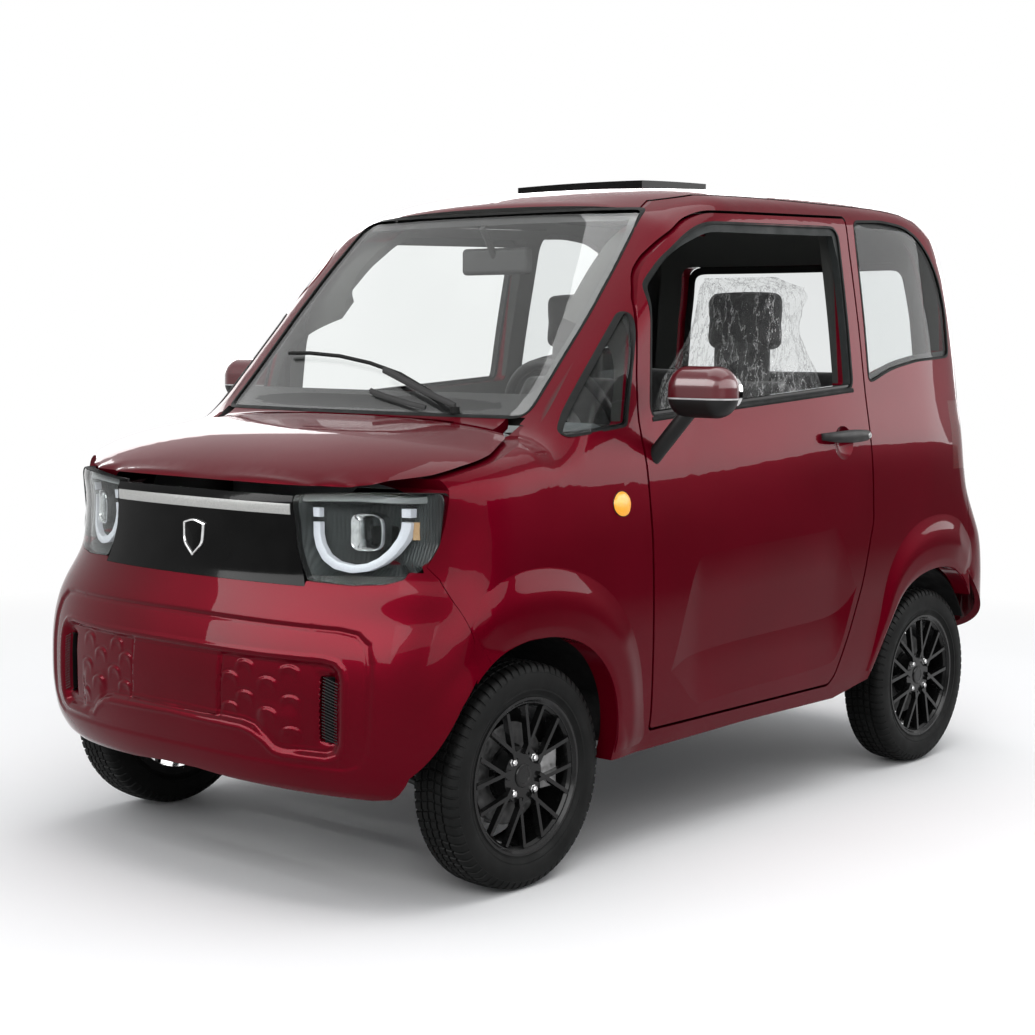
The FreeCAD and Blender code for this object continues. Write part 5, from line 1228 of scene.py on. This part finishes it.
Pad("bench_base", (0.0, 1.640, 0.7025), (0.490, 0.155, 0.048), 0.034,
    seams=[("x", 0.0, 2), ("y", 0.2, 2), ("edge", 1.0, 2)], step=0.016)


def finish_pad(made):
    rounder = made.modifiers.new("Subdivision", "SUBSURF")
    rounder.levels = rounder.render_levels = 1


for pad in pads:
    cloth_made = pad.made.modifiers.new("Cloth", "CLOTH")
    settings = cloth_made.settings
    settings.quality = 4
    settings.use_pressure = True
    settings.uniform_pressure_force = 4.0
    settings.effector_weights.gravity = 0.0
    cloth_made.point_cache.frame_start = 1
    cloth_made.point_cache.frame_end = SWELL_STEPS
scene = bpy.context.scene
for step in range(1, SWELL_STEPS + 1):
    scene.frame_set(step)
settled = bpy.context.evaluated_depsgraph_get()
swollen = []
for pad in pads:
    mesh = pad.made.evaluated_get(settled).to_mesh()
    moved = Pad.read(mesh) - pad.start
    pad.made.evaluated_get(settled).to_mesh_clear()
    moved -= moved.mean(axis=0)
    far = np.linalg.norm(moved, axis=1)
    swollen.append(pad.start + moved * (np.minimum(far, pad.cap) / np.maximum(far, 1e-9))[:, None])
for pad, points in zip(pads, swollen):
    pad.made.modifiers.remove(pad.made.modifiers["Cloth"])
    pad.write(points)
scene.frame_set(1)

for pad in pads:
    points, normals = Pad.read(pad.made.data), Pad.read(pad.made.data, "normal")
    own = pad.back(points) / pad.half
    depth = np.zeros(len(points))
    for kind, place, face in pad.seams:
        if kind == "edge":
            rest = [k for k in range(3) if k != face]
            level = np.abs(own[:, face]) * pad.half[face]
            near = np.abs(level - (pad.half[face] - 0.030))
            depth += 0.0035 * np.exp(-(near / 0.006) ** 2) * (np.abs(own[:, rest]).max(axis=1) > 0.85)
            continue
        index = "xyz".index(kind)
        near = np.abs(own[:, index] - place) * pad.half[index]
        depth += 0.0060 * np.exp(-(near / 0.009) ** 2) * blend(0.3, 0.8, np.abs(own[:, face]))
    wave = (np.sin(own[:, 0] * 9 + own[:, 2] * 4) * np.sin(own[:, 1] * 5 + own[:, 2] * 11 + 1.3)) * 0.0009
    pad.write(points - normals * (depth + wave)[:, None])
    finish_pad(pad.made)

for pad in pads[:4]:
    mesh = pad.made.data
    points = Pad.read(mesh) - np.array((0.0, AXLE, 0.0))
    finish_pad(piece(pad.name.replace("left", "right"), mirrored(points, -1),
                     [list(face.vertices)[::-1] for face in mesh.polygons], seat_cloth, angle=180.0,
                     slot="seat_cloth"))
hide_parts("front_seats")
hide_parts("rear_bench")

# A rail's outline: share of its half width, and height.
RAIL = ((-1, 0.298), (-1, 0.318), (-0.45, 0.324), (-0.45, 0.440), (-1, 0.446), (-1, 0.478), (1, 0.478),
        (1, 0.446), (0.45, 0.440), (0.45, 0.324), (1, 0.318), (1, 0.298))
RAIL_HALF = 0.014
for label, side in SIDES:
    for k, off in enumerate((-0.05, 0.05)):
        line = resample([(side * (SEAT_X + off), 1.318, 1.08), (side * (SEAT_X + off), 1.350, 1.23)], 6)
        tube("headrest_post_%s_%d" % (label, k), line, 0.0065, steel, sides=16)
    for k, x in enumerate((0.140, 0.460)):
        rows = [[(side * (x + u * RAIL_HALF * grow), y, z) for u, z in RAIL]
                for y, grow in ((0.752, 0.7), (0.756, 1.0), (1.164, 1.0), (1.168, 0.7))]
        stack("seat_rail_%s_%d" % (label, k), rows, steel_black)
foot_loop = ((-1, -1), (1, -1), (1, 0.7), (0.97, 1), (-0.97, 1), (-1, 0.7))
stack("bench_foot", [[(x, 1.67 + u * 0.165 * grow, 0.636 + v * 0.0245 * grow) for u, v in foot_loop]
                     for x, grow in ((-0.360, 0.9), (-0.355, 1.0), (0.355, 1.0), (0.360, 0.9))], steel_black)

# ---------------------------------------------------------------- clear cover left on the driver's seat
film_look = Maker("clear_film")
stretch = film_look.node("ShaderNodeMapping")
stretch.inputs["Scale"].default_value = (1.0, 1.0, 0.22)
film_look.link(film_look.place, stretch.inputs["Vector"])
film_look.place = stretch.outputs[0]
# Painted highlights: along noise ridges the film turns light grey and nearly opaque, standing in for glints on
# its crinkles; elsewhere it keeps a faint light haze of its own.
glint_ridges = film_look.math("ABSOLUTE", film_look.math("SUBTRACT", film_look.noise(26.0, 5.0, 0.65), 0.5))
film_look.colour(film_look.noise(20.0), tone(0.55), tone(0.75))
film_look.bump(film_look.noise(70.0, 4.0, 0.7), 0.005, 0.8)
# alpha rises on the ridges, so the painted crinkle highlights show there
film_look.link(film_look.span(glint_ridges, 0.0, 0.026, 0.46, 0.07), film_look.shader.inputs["Alpha"])
film_look = film_look.set(Roughness=0.12, Specular_IOR_Level=0.6).material
# Each row of the film: height, half width, half depth, middle along Y.
film_line = [(0.800, 0.262, 0.100, 1.250), (0.860, 0.258, 0.096, 1.265), (0.950, 0.252, 0.092, 1.287),
             (1.040, 0.245, 0.088, 1.309), (1.110, 0.236, 0.086, 1.326), (1.150, 0.218, 0.084, 1.334),
             (1.190, 0.188, 0.082, 1.340), (1.240, 0.156, 0.074, 1.345), (1.300, 0.142, 0.064, 1.349),
             (1.350, 0.136, 0.058, 1.350), (1.385, 0.134, 0.042, 1.350), (1.402, 0.138, 0.012, 1.350),
             (1.408, 0.140, 0.0035, 1.350)]
heights, *measures = np.array(film_line).T
around = turns(180)
c, s = np.cos(around), np.sin(around)
film_rows = []
for z in np.concatenate([np.linspace(0.800, 1.300, 64), np.linspace(1.306, 1.408, 22)]):
    a, b, middle = (np.interp(z, heights, values) for values in measures)
    ring = np.column_stack([SEAT_X + a * np.sign(c) * np.abs(c) ** 0.72,
                            middle + b * np.sign(s) * np.abs(s) ** 0.72, np.full(len(around), z)])
    way = unit(np.column_stack([c / a, s / b, np.zeros(len(around))]))
    fold = []
    for p, t in zip(ring, around):
        sharp = 1 - 2 * abs(noise.noise(Vector((6.0 * math.cos(t), 6.0 * math.sin(t), z * 7.0))))
        fine = 1 - 2 * abs(noise.noise(Vector((p[0] * 22, p[1] * 22 + 7, z * 16))))
        fold.append(0.006 * sharp + 0.004 * fine + 0.007)
    ring += way * (np.array(fold) * (1 - 0.75 * blend(1.38, 1.405, z)))[:, None]
    # a loose corner of the bag stands off the headrest's outer side
    ring[:, 0] += 0.050 * blend(0.75, 1.0, c) * blend(1.24, 1.385, z)
    ring[:, 2] -= 0.030 * blend(0.6, 1.0, c) * blend(1.30, 1.40, z)
    film_rows.append(ring)
film_rows = np.array(film_rows)
rows, columns = film_rows.shape[:2]
faces = lattice(rows, columns, wrap_columns=True) + [list(range((rows - 1) * columns, rows * columns))]
film = piece("seat_cover_film", film_rows.reshape(-1, 3), faces, film_look, angle=180.0)

low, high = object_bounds()
